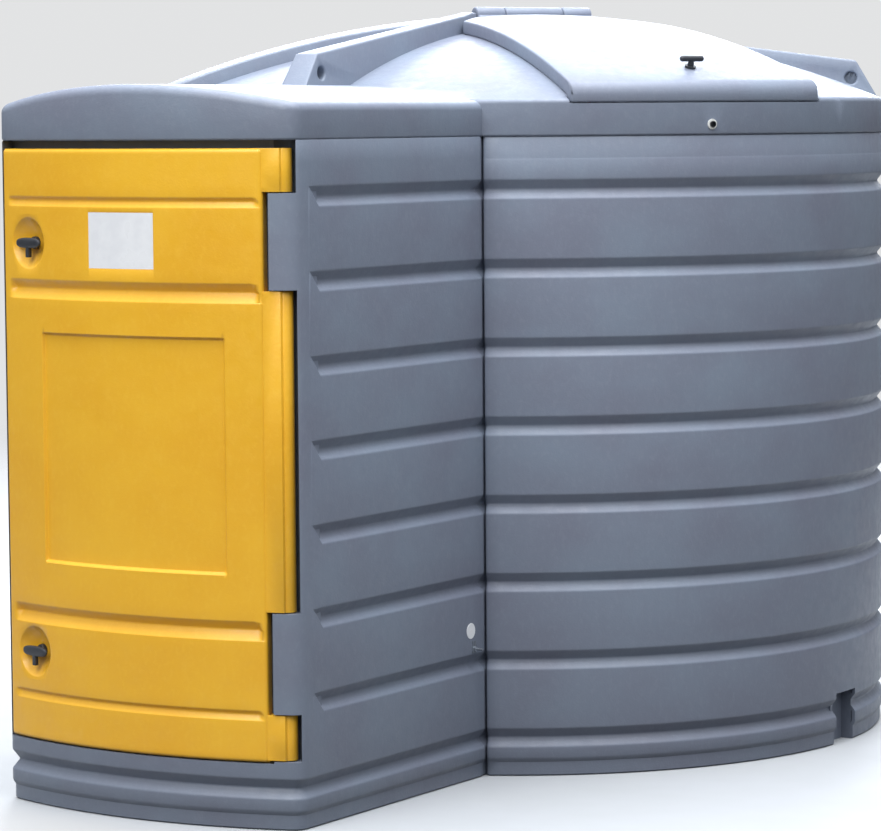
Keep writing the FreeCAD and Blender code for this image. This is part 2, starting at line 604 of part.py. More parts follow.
def dome_block(rise, inset, rim):
    """Dome over the round body, with its rim rounded down to the band."""
    ball, edge = DOME_R + rise - inset, BODY_R - inset
    rim = max(rim - inset, 3.0)
    rim_u = edge - rim
    rim_z = DOME_CZ + math.sqrt((ball - rim) ** 2 - rim_u ** 2)
    share = ball / (ball - rim)
    meet = V(rim_u * share, 0, DOME_CZ + (rim_z - DOME_CZ) * share)
    half = math.atan2(meet.x, meet.z - DOME_CZ) / 2
    turn = math.atan2(meet.z - rim_z, meet.x - rim_u) / 2
    top, foot = V(0, 0, DOME_CZ + ball), V(edge, 0, SEAM_Z)
    crown = V(ball * math.sin(half), 0, DOME_CZ + ball * math.cos(half))
    bend = V(rim_u + rim * math.cos(turn), 0, rim_z + rim * math.sin(turn))
    wire = Part.Wire([Part.Arc(top, crown, meet).toShape(),
                      Part.Arc(meet, bend, V(edge, 0, rim_z)).toShape(),
                      Part.makeLine(V(edge, 0, rim_z), foot), Part.makeLine(foot, V(0, 0, SEAM_Z)),
                      Part.makeLine(V(0, 0, SEAM_Z), top)])
    solid = Part.Face(wire).revolve(V(0, 0, 0), Z, 360)
    solid.translate(V(0, BODY_Y, 0))
    return solid


def deck_plan(grow, z0, z1):
    """Prism over the plan of a deck or the hatch, in the hatch's direction before turning."""
    end = BODY_R + 1
    slope = (DECK_HALF_OUT - DECK_HALF_IN) / (end - DECK_START)
    near = DECK_START - grow
    half_in = DECK_HALF_IN - slope * grow + grow
    half_out = DECK_HALF_OUT + grow
    shoulder = near + DECK_HALF_IN - HATCH_BARREL_HALF
    points = [V(near, -HATCH_BARREL_HALF - grow, z0), V(shoulder, -half_in, z0), V(end, -half_out, z0),
              V(end, half_out, z0), V(shoulder, half_in, z0), V(near, HATCH_BARREL_HALF + grow, z0)]
    return Part.Face(Part.makePolygon(points + points[:1])).extrude(V(0, 0, z1 - z0))


def opening_plan(grow, z0, z1):
    """Prism over the plan of the roof's opening under the hatch."""
    points = [V(HATCH_OPEN_IN - grow, -HATCH_OPEN_HALF_IN - grow, z0),
              V(HATCH_OPEN_OUT + grow, -HATCH_OPEN_HALF_OUT - grow, z0),
              V(HATCH_OPEN_OUT + grow, HATCH_OPEN_HALF_OUT + grow, z0),
              V(HATCH_OPEN_IN - grow, HATCH_OPEN_HALF_IN + grow, z0)]
    return Part.Face(Part.makePolygon(points + points[:1])).extrude(V(0, 0, z1 - z0))


def canopy_block(inset):
    """Arched canopy over the cabinet, rounded along its top edge."""
    half = CAB_HALF + 1
    back, low = CORNER_Y - FRONT_BOW - 1, SEAM_Z
    ends = V(-half, back, CANOPY_EDGE_Z - inset), V(half, back, CANOPY_EDGE_Z - inset)
    wire = Part.Wire([Part.Arc(ends[0], V(0, back, CANOPY_MID_Z - inset), ends[1]).toShape(),
                      Part.makeLine(ends[1], V(half, back, low)),
                      Part.makeLine(V(half, back, low), V(-half, back, low)),
                      Part.makeLine(V(-half, back, low), ends[0])])
    arch = Part.Face(wire).extrude(V(0, BODY_Y - back, 0))
    block = arch.common(cabinet_block(inset, inset, SEAM_Z, CANOPY_MID_Z + 1))
    edges = [e for e in block.Edges if e.BoundBox.ZMin > CANOPY_EDGE_Z - inset - 2
             and e.BoundBox.YMin < BODY_Y - 2]
    return block.makeFillet(CANOPY_ROUND - inset, edges)


def ear_block(direction, inset):
    """One lifting ear: a drafted radial rib with a sloped end."""
    end_u, end_z, rise, foot_u, foot_z, _, _ = EAR_TOPS[direction]
    top_z = end_z + rise * (end_u - EAR_IN_U)
    lean = (foot_u - end_u) / (end_z - foot_z)
    low_u = foot_u + lean * (foot_z - EAR_FOOT_Z)
    side = [V(EAR_IN_U, 0, EAR_FOOT_Z - inset), V(low_u - inset, 0, EAR_FOOT_Z - inset),
            V(end_u - inset, 0, end_z - inset), V(EAR_IN_U, 0, top_z - inset)]
    slab = Part.Face(Part.makePolygon(side + side[:1])).extrude(V(0, 2 * EAR_BASE_HALF, 0))
    slab.translate(V(0, -EAR_BASE_HALF, 0))
    foot, head = EAR_BASE_HALF - inset, EAR_TOP_HALF - inset
    section = [V(0, -foot, EAR_FOOT_Z - inset), V(0, foot, EAR_FOOT_Z - inset),
               V(0, head, EAR_HEAD_Z), V(0, -head, EAR_HEAD_Z)]
    wedge = Part.Face(Part.makePolygon(section + section[:1])).extrude(V(low_u + 1, 0, 0))
    rib = slab.common(wedge)
    if inset:
        rib = rib.cut(ear_hole(direction, EAR_HOLE_R + inset))
    rib.rotate(V(0, 0, 0), Z, direction)
    rib.translate(V(0, BODY_Y, 0))
    return rib


def ear_hole(direction, radius):
    """Cutter along a lifting ear's hole, before the ear is turned to its direction."""
    hole_u, hole_z = EAR_TOPS[direction][5:]
    return rod(radius, 4 * EAR_BASE_HALF, V(hole_u, -2 * EAR_BASE_HALF, hole_z), Y)


def hatch_rooms(inset):
    """Spaces beside the ears and the decks for the hatch and its hinge barrel."""
    grow = HATCH_ROOM + inset
    half = HATCH_BARREL_HALF + grow
    barrel = rod(HATCH_BARREL_R + grow, 2 * half, V(HATCH_AXIS_U, -half, HATCH_AXIS_Z), Y)
    high, low = EAR_HEAD_Z + DECK_RISE, HATCH_AXIS_Z - HATCH_BARREL_R - grow
    webs = box(HATCH_AXIS_U, DECK_START, -half, half, low, high)
    return [by_hatch(deck_plan(grow, SEAM_Z, high)), by_hatch(barrel), by_hatch(webs)]


def roof_form(inset):
    """Roof cover as a solid: dome, canopy, blank decks and lifting ears."""
    pieces = [dome_block(0, inset, RIM_R), canopy_block(inset)]
    raised = [ear_block(direction, inset) for direction in EAR_TOPS]
    for turn in DECK_TURNS:
        plan = by_hatch(deck_plan(-inset, SEAM_Z, DOME_TOP_Z + 2 * DECK_RISE), turn)
        raised.append(dome_block(DECK_RISE, inset, DECK_RIM_R).common(plan))
    pieces += [piece.cut(hatch_rooms(inset)) for piece in raised]
    ledge = ring(BODY_R + 1, BODY_R - LEDGE_WIDTH - inset, DECK_RISE, V(0, 0, LEDGE_Z - inset))
    ledge = ledge.common(deck_plan(HATCH_GAP + inset, SEAM_Z, DOME_TOP_Z))
    return joined(pieces).cut(by_hatch(ledge))


def roof_cover():
    """Roof cover: a thin moulding with the hatch's opening, its coaming and a hinge knuckle."""
    shell = roof_form(0).cut(roof_form(ROOF_WALL))
    high = DOME_TOP_Z + DECK_RISE
    coaming = opening_plan(COAMING_WALL, SEAM_Z, high).cut(opening_plan(0, SEAM_Z, high))
    lip = dome_block(COAMING_RISE, 0, RIM_R).common(by_hatch(coaming)).cut(dome_block(0, ROOF_WALL, RIM_R))
    knuckle = joined([
        rod(HATCH_BARREL_R, 2 * HATCH_MID_HALF, V(HATCH_AXIS_U, -HATCH_MID_HALF, HATCH_AXIS_Z), Y),
        box(HATCH_AXIS_U - HATCH_BARREL_R, HATCH_AXIS_U + HATCH_BARREL_R / 2, -HATCH_MID_HALF,
            HATCH_MID_HALF, dome_z(HATCH_AXIS_U) - ROOF_WALL / 2, HATCH_AXIS_Z)])
    cover = joined([shell, lip, by_hatch(knuckle)])
    holes = [by_hatch(opening_plan(0, SEAM_Z, high)), by_hatch(hatch_rod_bar(ROD_R + RUN_GAP, 5))]
    for direction in EAR_TOPS:
        hole = ear_hole(direction, EAR_HOLE_R)
        hole.rotate(V(0, 0, 0), Z, direction)
        hole.translate(V(0, BODY_Y, 0))
        holes.append(hole)
    return cover.cut(holes + neck_bores())


def hatch_rod_bar(radius, over=0.0):
    """Round bar on the hatch's hinge axis, before turning."""
    half = HATCH_BARREL_HALF + over
    return rod(radius, 2 * half, V(HATCH_AXIS_U, -half, HATCH_AXIS_Z), Y)


def hatch_knob_frame(shape):
    """Moves a shape whose +Z points out of the hatch to the hatch's handle."""
    lean = math.degrees(math.asin(HATCH_KNOB_U / (DOME_R + DECK_RISE)))
    moved = shape.copy()
    moved.rotate(V(0, 0, 0), Y, lean)
    moved.translate(V(HATCH_KNOB_U, 0, dome_z(HATCH_KNOB_U, DECK_RISE)))
    return by_hatch(moved)


def hatch_cover():
    """Hatch: a thin domed lid with a skirt, hinge knuckles and a hole for its handle."""
    high = DOME_TOP_Z + 2 * DECK_RISE
    outer = dome_block(DECK_RISE, 0, DECK_RIM_R).common(by_hatch(deck_plan(0, SEAM_Z, high)))
    inner = dome_block(DECK_RISE, HATCH_WALL, DECK_RIM_R)
    inner = inner.common(by_hatch(deck_plan(-HATCH_WALL, SEAM_Z, high)))
    beyond = ring(2 * BODY_R, BODY_R - LEDGE_WIDTH, DOME_TOP_Z, V(0, BODY_Y, LEDGE_Z))
    below = [dome_block(HATCH_GAP, 0, RIM_R).cut(beyond),
             rod(BODY_R + 1, LEDGE_Z + HATCH_GAP - SEAM_Z + 1, V(0, BODY_Y, SEAM_Z - 1))]
    lid = outer.cut([inner] + below)
    knuckles = []
    for side in (-1, 1):
        v0, v1 = sorted((side * (HATCH_MID_HALF + KNUCKLE_GAP), side * HATCH_BARREL_HALF))
        knuckles += [rod(HATCH_BARREL_R, v1 - v0, V(HATCH_AXIS_U, v0, HATCH_AXIS_Z), Y),
                     box(HATCH_AXIS_U, DECK_START + HATCH_WALL, v0, v1, HATCH_AXIS_Z - HATCH_BARREL_R * 0.9,
                         dome_z(DECK_START, DECK_RISE) - 2)]
    boss = hatch_knob_frame(rod(KNOB_HUB_R + 4, 12, V(0, 0, -18 + HATCH_WALL)))
    lid = joined([lid, by_hatch(joined(knuckles)), boss])
    return lid.cut([by_hatch(hatch_rod_bar(ROD_R + RUN_GAP, 5)),
                    hatch_knob_frame(rod(SPINDLE_R + RUN_GAP, 80, V(0, 0, -60)))])


def hatch_hinge_rod():
    """Rod that the hatch turns on."""
    return by_hatch(hatch_rod_bar(ROD_R, -4))


def tee_handle(base, height, back):
    """T-shaped handle turning about +Z: hub, neck, cross bar and spindle."""
    hub = rod(KNOB_HUB_R, KNOB_HUB_T, V(0, 0, base))
    neck_cone = Part.makeCone(9, 7, height - base - KNOB_HUB_T, V(0, 0, base + KNOB_HUB_T))
    bar = rod(KNOB_BAR_R, 2 * KNOB_BAR_HALF - 2 * KNOB_BAR_R, V(-KNOB_BAR_HALF + KNOB_BAR_R, 0, height), X)
    ends = [Part.makeSphere(KNOB_BAR_R, V(s * (KNOB_BAR_HALF - KNOB_BAR_R), 0, height)) for s in (-1, 1)]
    spindle = rod(SPINDLE_R, base - back, V(0, 0, back))
    return joined([hub, neck_cone, bar, spindle] + ends)


def cam_plate(length, back):
    """Flat cam on the end of a handle's spindle, pointing down its own -Y."""
    plate = box(-CAM_HALF, CAM_HALF, -length, 0, back, back + CAM_T)
    plate = joined([plate, rod(CAM_END_R, CAM_T, V(0, 0, back))])
    return plate.cut(rod(SPINDLE_R, CAM_T, V(0, 0, back)))


def door_handle(z):
    """Handle in one of the door's dishes."""
    return at_front(tee_handle(-DISH_DEPTH + SEAT_GAP, DOOR_KNOB_UP, DOOR_CAM_BACK), KNOB_X, z)


def door_cam(z):
    """Cam behind the door, which locks behind the cabinet's frame."""
    return at_front(cam_plate(DOOR_CAM_LENGTH, DOOR_CAM_BACK), KNOB_X, z)


def hatch_handle():
    """Handle on top of the hatch."""
    turned_handle = tee_handle(SEAT_GAP, HATCH_KNOB_UP, HATCH_CAM_BACK)
    turned_handle.rotate(V(0, 0, 0), Z, 90)
    return hatch_knob_frame(turned_handle)


def hatch_cam():
    """Cam under the hatch, which locks under the roof's rim."""
    return hatch_knob_frame(cam_plate(HATCH_CAM_LENGTH, HATCH_CAM_BACK))


def door_panel():
    """Door's bowed panel with its grooves, sunk field and dishes."""
    panel = bow_layer(DOOR_T, 0, DOOR_LEFT - 20, AXIS_X, DOOR_LOW_Z, DOOR_HIGH_Z)
    panel = panel.cut([by_axis(-PANEL_EDGE, CAB_HALF, -FRONT_BOW, 2 * FRONT_BOW, 0, SEAM_Z),
                       box(-2 * CAB_HALF, DOOR_LEFT, CORNER_Y - FRONT_BOW, 0, 0, SEAM_Z)])
    front = [e for e in panel.Edges if all(
        abs(math.hypot(v.X, v.Y - FRONT_CY) - FRONT_R) < 0.01 for v in e.Vertexes)]
    panel = panel.makeFillet(DOOR_EDGE_R, front)
    start, end = [math.degrees(math.asin(x / FRONT_R)) for x in DOOR_GROOVE_X]
    cutters = []
    for z, up, down, deep in DOOR_GROOVES:
        spill = 1 + 1 / deep
        cutters.append(bow_sweep([(FRONT_R + 1, z + up * spill), (FRONT_R - deep, z),
                                  (FRONT_R + 1, z - down * spill)], start, end - start))
    cutters.append(bow_layer(PANEL_DEPTH, -1, PANEL_X[0], PANEL_X[1], PANEL_Z[0], PANEL_Z[1]))
    ball_r = (DISH_R ** 2 + DISH_DEPTH ** 2) / (2 * DISH_DEPTH)
    dish = Part.makeSphere(ball_r, V(0, 0, ball_r - DISH_DEPTH))
    dish = dish.fuse(rod(KNOB_HUB_R + 1, DISH_DEPTH, V(0, 0, -DISH_DEPTH)))
    cutters += [at_front(dish, KNOB_X, z) for z in KNOB_Z]
    return panel.cut(cutters)


def door_hollows():
    """Hollows between the door's two skins, one in each bay between its grooves."""
    marks = [DOOR_HIGH_Z] + [g[0] for g in DOOR_GROOVES] + [DOOR_LOW_Z]
    keep = [at_front(rod(DISH_R + DOOR_SKIN, 4 * DOOR_T, V(0, 0, -3 * DOOR_T)), KNOB_X, z) for z in KNOB_Z]
    hollows = []
    for i, (top, low) in enumerate(zip(marks, marks[1:])):
        upper = top - (DOOR_GROOVES[i - 1][2] if 0 < i else 0) - DOOR_SKIN
        lower = low + (DOOR_GROOVES[i][1] if i < len(DOOR_GROOVES) else 0) + DOOR_SKIN
        sunk = PANEL_DEPTH if lower < PANEL_Z[0] < upper else 0
        x1 = AXIS_X - PANEL_EDGE - 4 * DOOR_SKIN
        hollows.append(bow_layer(DOOR_T - DOOR_SKIN, DOOR_SKIN + sunk, DOOR_LEFT + 2 * DOOR_SKIN, x1,
                                  lower, upper).cut(keep))
    return hollows


def door():
    """Door: a double-skinned moulding with three knuckles on its right edge."""
    knuckles = []
    for z0, z1 in DOOR_KNUCKLES:
        knuckles += [rod(KNUCKLE_R, z1 - z0, V(AXIS_X, AXIS_Y, z0)),
                     by_axis(-PANEL_EDGE - DOOR_EDGE_R - 2, 0, AXIS_IN - KNUCKLE_R, DOOR_T, z0, z1)]
    leaf = joined([door_panel().cut(door_hollows())] + knuckles)
    bores = [rod(ROD_R + RUN_GAP, DOOR_HIGH_Z - DOOR_LOW_Z + 2, V(AXIS_X, AXIS_Y, DOOR_LOW_Z - 1))]
    spindle_bore = rod(SPINDLE_R + RUN_GAP, 3 * DOOR_T, V(0, 0, -2 * DOOR_T))
    bores += [at_front(spindle_bore, KNOB_X, z) for z in KNOB_Z]
    return leaf.cut(bores)


def door_hinge_rod():
    """Steel rod that the door turns on."""
    low = DOOR_LOW_Z + SEAT_GAP
    return rod(ROD_R, DOOR_HIGH_Z - low, V(AXIS_X, AXIS_Y, low))


def inner_profile(wall):
    """Profile of the inner tank, inset by a wall."""
    r, base = INNER_R - wall, TANK_WALL + wall
    bend = INNER_SHOULDER_R - wall
    shoulder = [(r - bend * (1 - math.cos(a)), INNER_SHOULDER_Z + bend * math.sin(a))
                for a in (0, math.radians(23), math.radians(45), math.radians(68))]
    rise = INNER_TOP_Z - INNER_SHOULDER_Z - INNER_SHOULDER_R
    dome = [((r - bend) * f, INNER_TOP_Z - wall - rise * f ** 2) for f in (1.0, 0.66, 0.33, 0.0)]
    return [(0, base), (r, base)] + shoulder + dome


def inner_tank():
    """Inner tank: a closed round moulding with a manhole seat on its top."""
    outer = turned(inner_profile(0), V(0, BODY_Y, 0))
    hollow = turned(inner_profile(INNER_WALL), V(0, BODY_Y, 0))
    seat_low = INNER_SHOULDER_Z + INNER_SHOULDER_R - 40
    seat = by_hatch(rod(MAN_R, MAN_TOP_Z - seat_low, V(MAN_U, 0, seat_low)))
    bore = by_hatch(rod(MAN_BORE_R, MAN_TOP_Z - seat_low + 2, V(MAN_U, 0, seat_low - 1)))
    holes = [by_hatch(rod(LID_BOLT_SHANK_R, 40, V(MAN_U + x, y, MAN_TOP_Z - 40))) for x, y in lid_circle()]
    return joined([outer, seat]).cut([hollow.cut(seat), bore] + holes)


def lid_circle():
    """Centres of the manhole bolts about the manhole's axis."""
    turns = [2 * math.pi * i / LID_BOLTS for i in range(LID_BOLTS)]
    return [(LID_BOLT_R * math.cos(a), LID_BOLT_R * math.sin(a)) for a in turns]


def fitting_place(name):
    """Offset of a lid fitting from the body's axis, in the hatch's direction."""
    signs = {"fill": (1, -1), "gauge": (1, 1), "vent": (-1, 1), "suction": (-1, -1)}[name]
    return MAN_U + signs[0] * FIT_U, signs[1] * FIT_V


def lid_ring(radius, thick, low, bolt_r):
    """Disc on the manhole with its ring of bolt holes."""
    disc = rod(radius, thick, V(MAN_U, 0, low))
    return disc.cut([rod(bolt_r, thick, V(MAN_U + x, y, low)) for x, y in lid_circle()])


def manhole_gasket():
    """Flat gasket under the manhole lid."""
    disc = lid_ring(MAN_R - 4, GASKET_T, MAN_TOP_Z, LID_BOLT_SHANK_R + HOLE_GAP)
    return by_hatch(disc.cut(rod(MAN_BORE_R, GASKET_T, V(MAN_U, 0, MAN_TOP_Z))))


def manhole_lid():
    """Lid that carries the filling, venting, gauge and suction fittings."""
    lid = lid_ring(MAN_R, LID_T, MAN_TOP_Z + GASKET_T, LID_BOLT_SHANK_R + HOLE_GAP)
    for name, radius in LID_HOLES.items():
        u, v = fitting_place(name)
        lid = lid.cut(rod(radius, LID_T, V(u, v, MAN_TOP_Z + GASKET_T)))
    return by_hatch(lid)


def manhole_bolts():
    """Hexagon bolts round the manhole lid."""
    shank, bolts = LID_T + GASKET_T + 25, []
    for x, y in lid_circle():
        at = V(MAN_U + x, y, LID_TOP_Z)
        bolts.append(joined([hexagon(16, 7, at + V(0, 0, 2)), rod(11, 2, at),
                             rod(LID_BOLT_SHANK_R, shank, at - V(0, 0, shank))]))
    return by_hatch(group(bolts))


def fill_coupling():
    """Quick coupling for the delivery lorry's hose, with a drop pipe into the tank."""
    u, v = fitting_place("fill")
    body = joined([rod(45, 12, V(u, v, LID_TOP_Z)), hexagon(74, 24, V(u, v, LID_TOP_Z + 12)),
                   rod(FILL_R, FILL_UP - 36, V(u, v, LID_TOP_Z + 36)),
                   rod(FILL_R - 2, LID_TOP_Z - FILL_FOOT_Z, V(u, v, FILL_FOOT_Z))])
    groove = ring(FILL_R + 1, FILL_R - 4, 12, V(u, v, LID_TOP_Z + FILL_UP - 34))
    return by_hatch(body.cut([rod(FILL_R - 6, LID_TOP_Z, V(u, v, FILL_FOOT_Z - 1)), groove]))


def fill_cap():
    """Dust cap over the quick coupling, with a grip bar."""
    u, v = fitting_place("fill")
    top = LID_TOP_Z + FILL_UP
    cap = rod(FILL_R + 5, 50, V(u, v, top - 42)).cut(rod(FILL_R + 0.3, 42.3, V(u, v, top - 42)))
    grip = joined([box(u - 5, u + 5, v - 30, v + 30, top + 8, top + 26), rod(14, 10, V(u, v, top + 8))])
    return by_hatch(joined([cap, grip]))


def vent_pipe():
    """Vent pipe on the manhole lid."""
    u, v = fitting_place("vent")
    pipe = joined([rod(34, FLANGE_T, V(u, v, LID_TOP_Z)),
                   rod(VENT_R, VENT_UP + LID_T, V(u, v, LID_TOP_Z - LID_T))])
    return by_hatch(pipe.cut(rod(VENT_BORE, 2 * VENT_UP, V(u, v, LID_TOP_Z - LID_T - 1))))


def vent_cap():
    """Mushroom cap over the vent pipe, with slots under its brim."""
    u, v = fitting_place("vent")
    low, under = LID_TOP_Z + VENT_UP - 28, 28 + 16
    cap = turned([(VENT_R, 0), (24, 0), (24, 14), (36, 14), (36, 30), (26, under + 2), (10, under + 8),
                  (0, under + 8), (0, under), (VENT_R, under)], V(u, v, low))
    slot = box(-40, 40, -4, 4, 24, 30)
    slot.translate(V(u, v, low))
    return by_hatch(cap.cut(slot))


def gauge_head():
    """Housing of the level gauge on the manhole lid, open at the top for the dial."""
    u, v = fitting_place("gauge")
    body = joined([rod(52, FLANGE_T, V(u, v, LID_TOP_Z)), rod(GAUGE_R, GAUGE_H, V(u, v, LID_TOP_Z))])
    dial_room = rod(GAUGE_R - 5, DIAL_DEPTH, V(u, v, LID_TOP_Z + GAUGE_H - DIAL_DEPTH))
    return by_hatch(body.cut([dial_room, rod(TUBE_R + HOLE_GAP, TUBE_IN, V(u, v, LID_TOP_Z)),
                              rod(2.05, GAUGE_H, V(u, v, LID_TOP_Z + 20))]))


def gauge_pointer():
    """Pointer of the level gauge on its arbor."""
    u, v = fitting_place("gauge")
    low = LID_TOP_Z + GAUGE_H - 13
    outline = [V(-8, -3, 0), V(30, -0.8, 0), V(30, 0.8, 0), V(-8, 3, 0)]
    blade = Part.Face(Part.makePolygon(outline + outline[:1])).extrude(V(0, 0, 1.2))
    pointer = joined([blade, rod(5, 3, V(0, 0, 0)), rod(2, 12, V(0, 0, -12))])
    pointer.translate(V(u, v, low))
    return by_hatch(pointer)


def gauge_window():
    """Clear window over the gauge's dial."""
    u, v = fitting_place("gauge")
    return by_hatch(rod(GAUGE_R - 5.3, 3, V(u, v, LID_TOP_Z + GAUGE_H - 5)))


def gauge_tube():
    """Guide tube of the float, with a stop at its foot."""
    u, v = fitting_place("gauge")
    low = FLOAT_REST_Z - 30
    tube = rod(TUBE_R, LID_TOP_Z + TUBE_IN - SEAT_GAP - low, V(u, v, low))
    return by_hatch(joined([tube, rod(2 * TUBE_R, FLOAT_REST_Z - low - HOLE_GAP, V(u, v, low))]))


def gauge_float():
    """Ring float that rides up the guide tube with the fuel."""
    u, v = fitting_place("gauge")
    body = turned([(TUBE_R + FLOAT_GAP, 0), (FLOAT_R - 8, 0), (FLOAT_R, 8), (FLOAT_R, FLOAT_H - 8),
                   (FLOAT_R - 8, FLOAT_H), (TUBE_R + FLOAT_GAP, FLOAT_H)], V(u, v, FLOAT_REST_Z))
    return by_hatch(body)


def suction_tube():
    """Dip tube from the manhole lid to near the inner tank's floor."""
    u, v = fitting_place("suction")
    tube = joined([rod(PIPE_R, LID_TOP_Z - SUCTION_FOOT_Z, V(u, v, SUCTION_FOOT_Z)),
                   rod(30, 8, V(u, v, LID_TOP_Z))])
    return by_hatch(tube.cut(rod(PIPE_BORE, LID_TOP_Z, V(u, v, SUCTION_FOOT_Z - 10))))


def foot_valve():
    """Foot valve with a strainer, on the end of the dip tube."""
    u, v = fitting_place("suction")
    body = turned([(0, 0), (24, 0), (28, 8), (28, 40), (20, 50), (20, 66), (PIPE_R, 66), (PIPE_R, 50),
                   (0, 50)], V(u, v, SUCTION_FOOT_Z - 50))
    return by_hatch(body)


def suction_pipe():
    """Pipe from the manhole lid over the inner tank and down into the bay, to the filter."""
    u, v = fitting_place("suction")
    start = by_hatch(Part.Vertex(u, v, LID_TOP_Z + 8)).Point
    points = [start, V(start.x, start.y, PIPE_HIGH_Z), V(SUCTION_X, PORT_Y, PIPE_HIGH_Z),
              V(SUCTION_X, PORT_Y, PORT_Z), V(FILTER_X[0], PORT_Y, PORT_Z)]
    return bent_tube(points, PIPE_R, PIPE_BORE, PIPE_BEND)


def ceiling_hole():
    """Hole for the suction pipe through the bay's ceiling."""
    return rod(PIPE_R + 4, 60, V(SUCTION_X, PORT_Y, BAY_Z[1] - 20))


def pipe_grommet():
    """Rubber grommet round the suction pipe in the bay's ceiling."""
    low = BAY_Z[1] - GROMMET_T
    body = joined([ring(PIPE_R + 4, PIPE_R, BAY_WALL + GROMMET_T, V(SUCTION_X, PORT_Y, low)),
                   ring(PIPE_R + 14, PIPE_R, GROMMET_T, V(SUCTION_X, PORT_Y, low))])
    return body


def filter_head():
    """Filter head between the suction pipe and the pump, with its wall bracket."""
    x0, x1 = FILTER_X
    mid = (x0 + x1) / 2
    body = joined([box(x0 + 8, x1 - 8, PORT_Y - 30, PORT_Y + 30, PORT_Z - 22, PORT_Z + 22),
                   rod(24, x1 - x0, V(x0, PORT_Y, PORT_Z), X),
                   rod(CANISTER_R - 2, 12, V(mid, PORT_Y, PORT_Z - CANISTER_DROP))])
    arm = box(mid - 20, mid + 20, PORT_Y + 30, PLATE_Y, PORT_Z - 15, PORT_Z + 15)
    return joined([body, arm])


def filter_canister():
    """Spin-on filter cartridge under the filter head."""
    mid = (FILTER_X[0] + FILTER_X[1]) / 2
    return turned([(0, 0), (CANISTER_R - 8, 0), (CANISTER_R, 8), (CANISTER_R, CANISTER_H - 8),
                   (CANISTER_R - 4, CANISTER_H), (0, CANISTER_H)],
                  V(mid, PORT_Y, PORT_Z - CANISTER_DROP - CANISTER_H))


def equipment_bracket():
    """Folded steel bracket on the bay's back wall, with a shelf for the pump."""
    front_y = PLATE_Y - SHELF_OUT
    plate = box(-PLATE_HALF, PLATE_HALF, PLATE_Y, BAY_BACK_Y, PLATE_Z[0], PLATE_Z[1])
    shelf = box(-SHELF_HALF, SHELF_HALF, front_y, PLATE_Y, SHELF_Z - PLATE_T, SHELF_Z)
    cheeks = []
    for side in (-1, 1):
        x = side * (SHELF_HALF - PLATE_T / 2)
        points = [V(x - PLATE_T / 2, PLATE_Y, SHELF_Z), V(x - PLATE_T / 2, PLATE_Y, SHELF_Z - 58),
                  V(x - PLATE_T / 2, front_y, SHELF_Z - 14), V(x - PLATE_T / 2, front_y, SHELF_Z)]
        cheeks.append(Part.Face(Part.makePolygon(points + points[:1])).extrude(V(PLATE_T, 0, 0)))
    return joined([plate, shelf] + cheeks).cut(bracket_holes(0))


def bracket_bolts():
    """Bolts that hold the bracket on the bay's back wall."""
    bolts = []
    for x, z in PLATE_BOLTS:
        head = hexagon(13, 6, V(x, PLATE_Y - 6, z), Y)
        bolts.append(joined([head, rod(PLATE_BOLT_R, PLATE_T + BAY_WALL + 6, V(x, PLATE_Y, z), Y)]))
    return group(bolts)


def bracket_holes(depth):
    """Holes for the bracket's bolts, from the bracket's front to a depth behind it."""
    return [rod(PLATE_BOLT_R, PLATE_T + depth, V(x, PLATE_Y, z), Y) for x, z in PLATE_BOLTS]


def pump_body():
    """Cast body of the vane pump, with an inlet and an outlet boss."""
    body = rod(PUMP_R, PUMP_BACK + PUMP_FRONT, V(0, PORT_Y - PUMP_FRONT, PORT_Z), Y)
    bosses = [rod(PORT_R, PUMP_HALF, V(0, PORT_Y, PORT_Z), side) for side in (X, V(-1, 0, 0))]
    dome = rod(22, 30, V(0, PORT_Y - 5, PORT_Z + PUMP_R - 12))
    return joined([body, dome] + bosses)


def pump_cover():
    """Front cover plate of the pump."""
    cover = rod(PUMP_R - 4, 12, V(0, PORT_Y - PUMP_FRONT - 12, PORT_Z), Y)
    return joined([cover, rod(26, 8, V(0, PORT_Y - PUMP_FRONT - 20, PORT_Z), Y)])


def pump_screws():
    """Screws of the pump's front cover."""
    screws = []
    for i in range(6):
        a = math.radians(60 * i + 30)
        at = V(50 * math.cos(a), PORT_Y - PUMP_FRONT - 16, PORT_Z + 50 * math.sin(a))
        screws.append(rod(5, 4, at, Y))
    return group(screws)


def pump_motor():
    """Finned electric motor behind the pump, on two feet."""
    front, back = PORT_Y + PUMP_BACK, PLATE_Y - FAN_GAP - FAN_LENGTH
    core = rod(MOTOR_R - FIN_DEPTH / 2, back - front, V(0, front, PORT_Z), Y)
    fins = []
    for i in range(MOTOR_FINS):
        fin = box(-FIN_T / 2, FIN_T / 2, front + 8, back, MOTOR_R - FIN_DEPTH, MOTOR_R)
        fin.rotate(V(0, 0, 0), Y, 360.0 * i / MOTOR_FINS)
        fin.translate(V(0, 0, PORT_Z))
        fins.append(fin)
    feet = [box(-60, 60, y, y + 22, SHELF_Z, PORT_Z - 40) for y in (front + 16, back - 36)]
    return joined([core] + fins + feet)


def motor_fan_cover():
    """Fan cover on the motor's rear end."""
    back = PLATE_Y - FAN_GAP
    cup = rod(MOTOR_R, FAN_LENGTH, V(0, back - FAN_LENGTH, PORT_Z), Y)
    return cup.cut([rod(MOTOR_R - 3, FAN_LENGTH - 3, V(0, back - FAN_LENGTH, PORT_Z), Y)]
                   + [ring(8 * k + 4, 8 * k, 4, V(0, back - 3.5, PORT_Z), Y).cut(
                      box(-3, 3, back - 10, back + 1, PORT_Z - 60, PORT_Z + 60)) for k in (2, 4)])


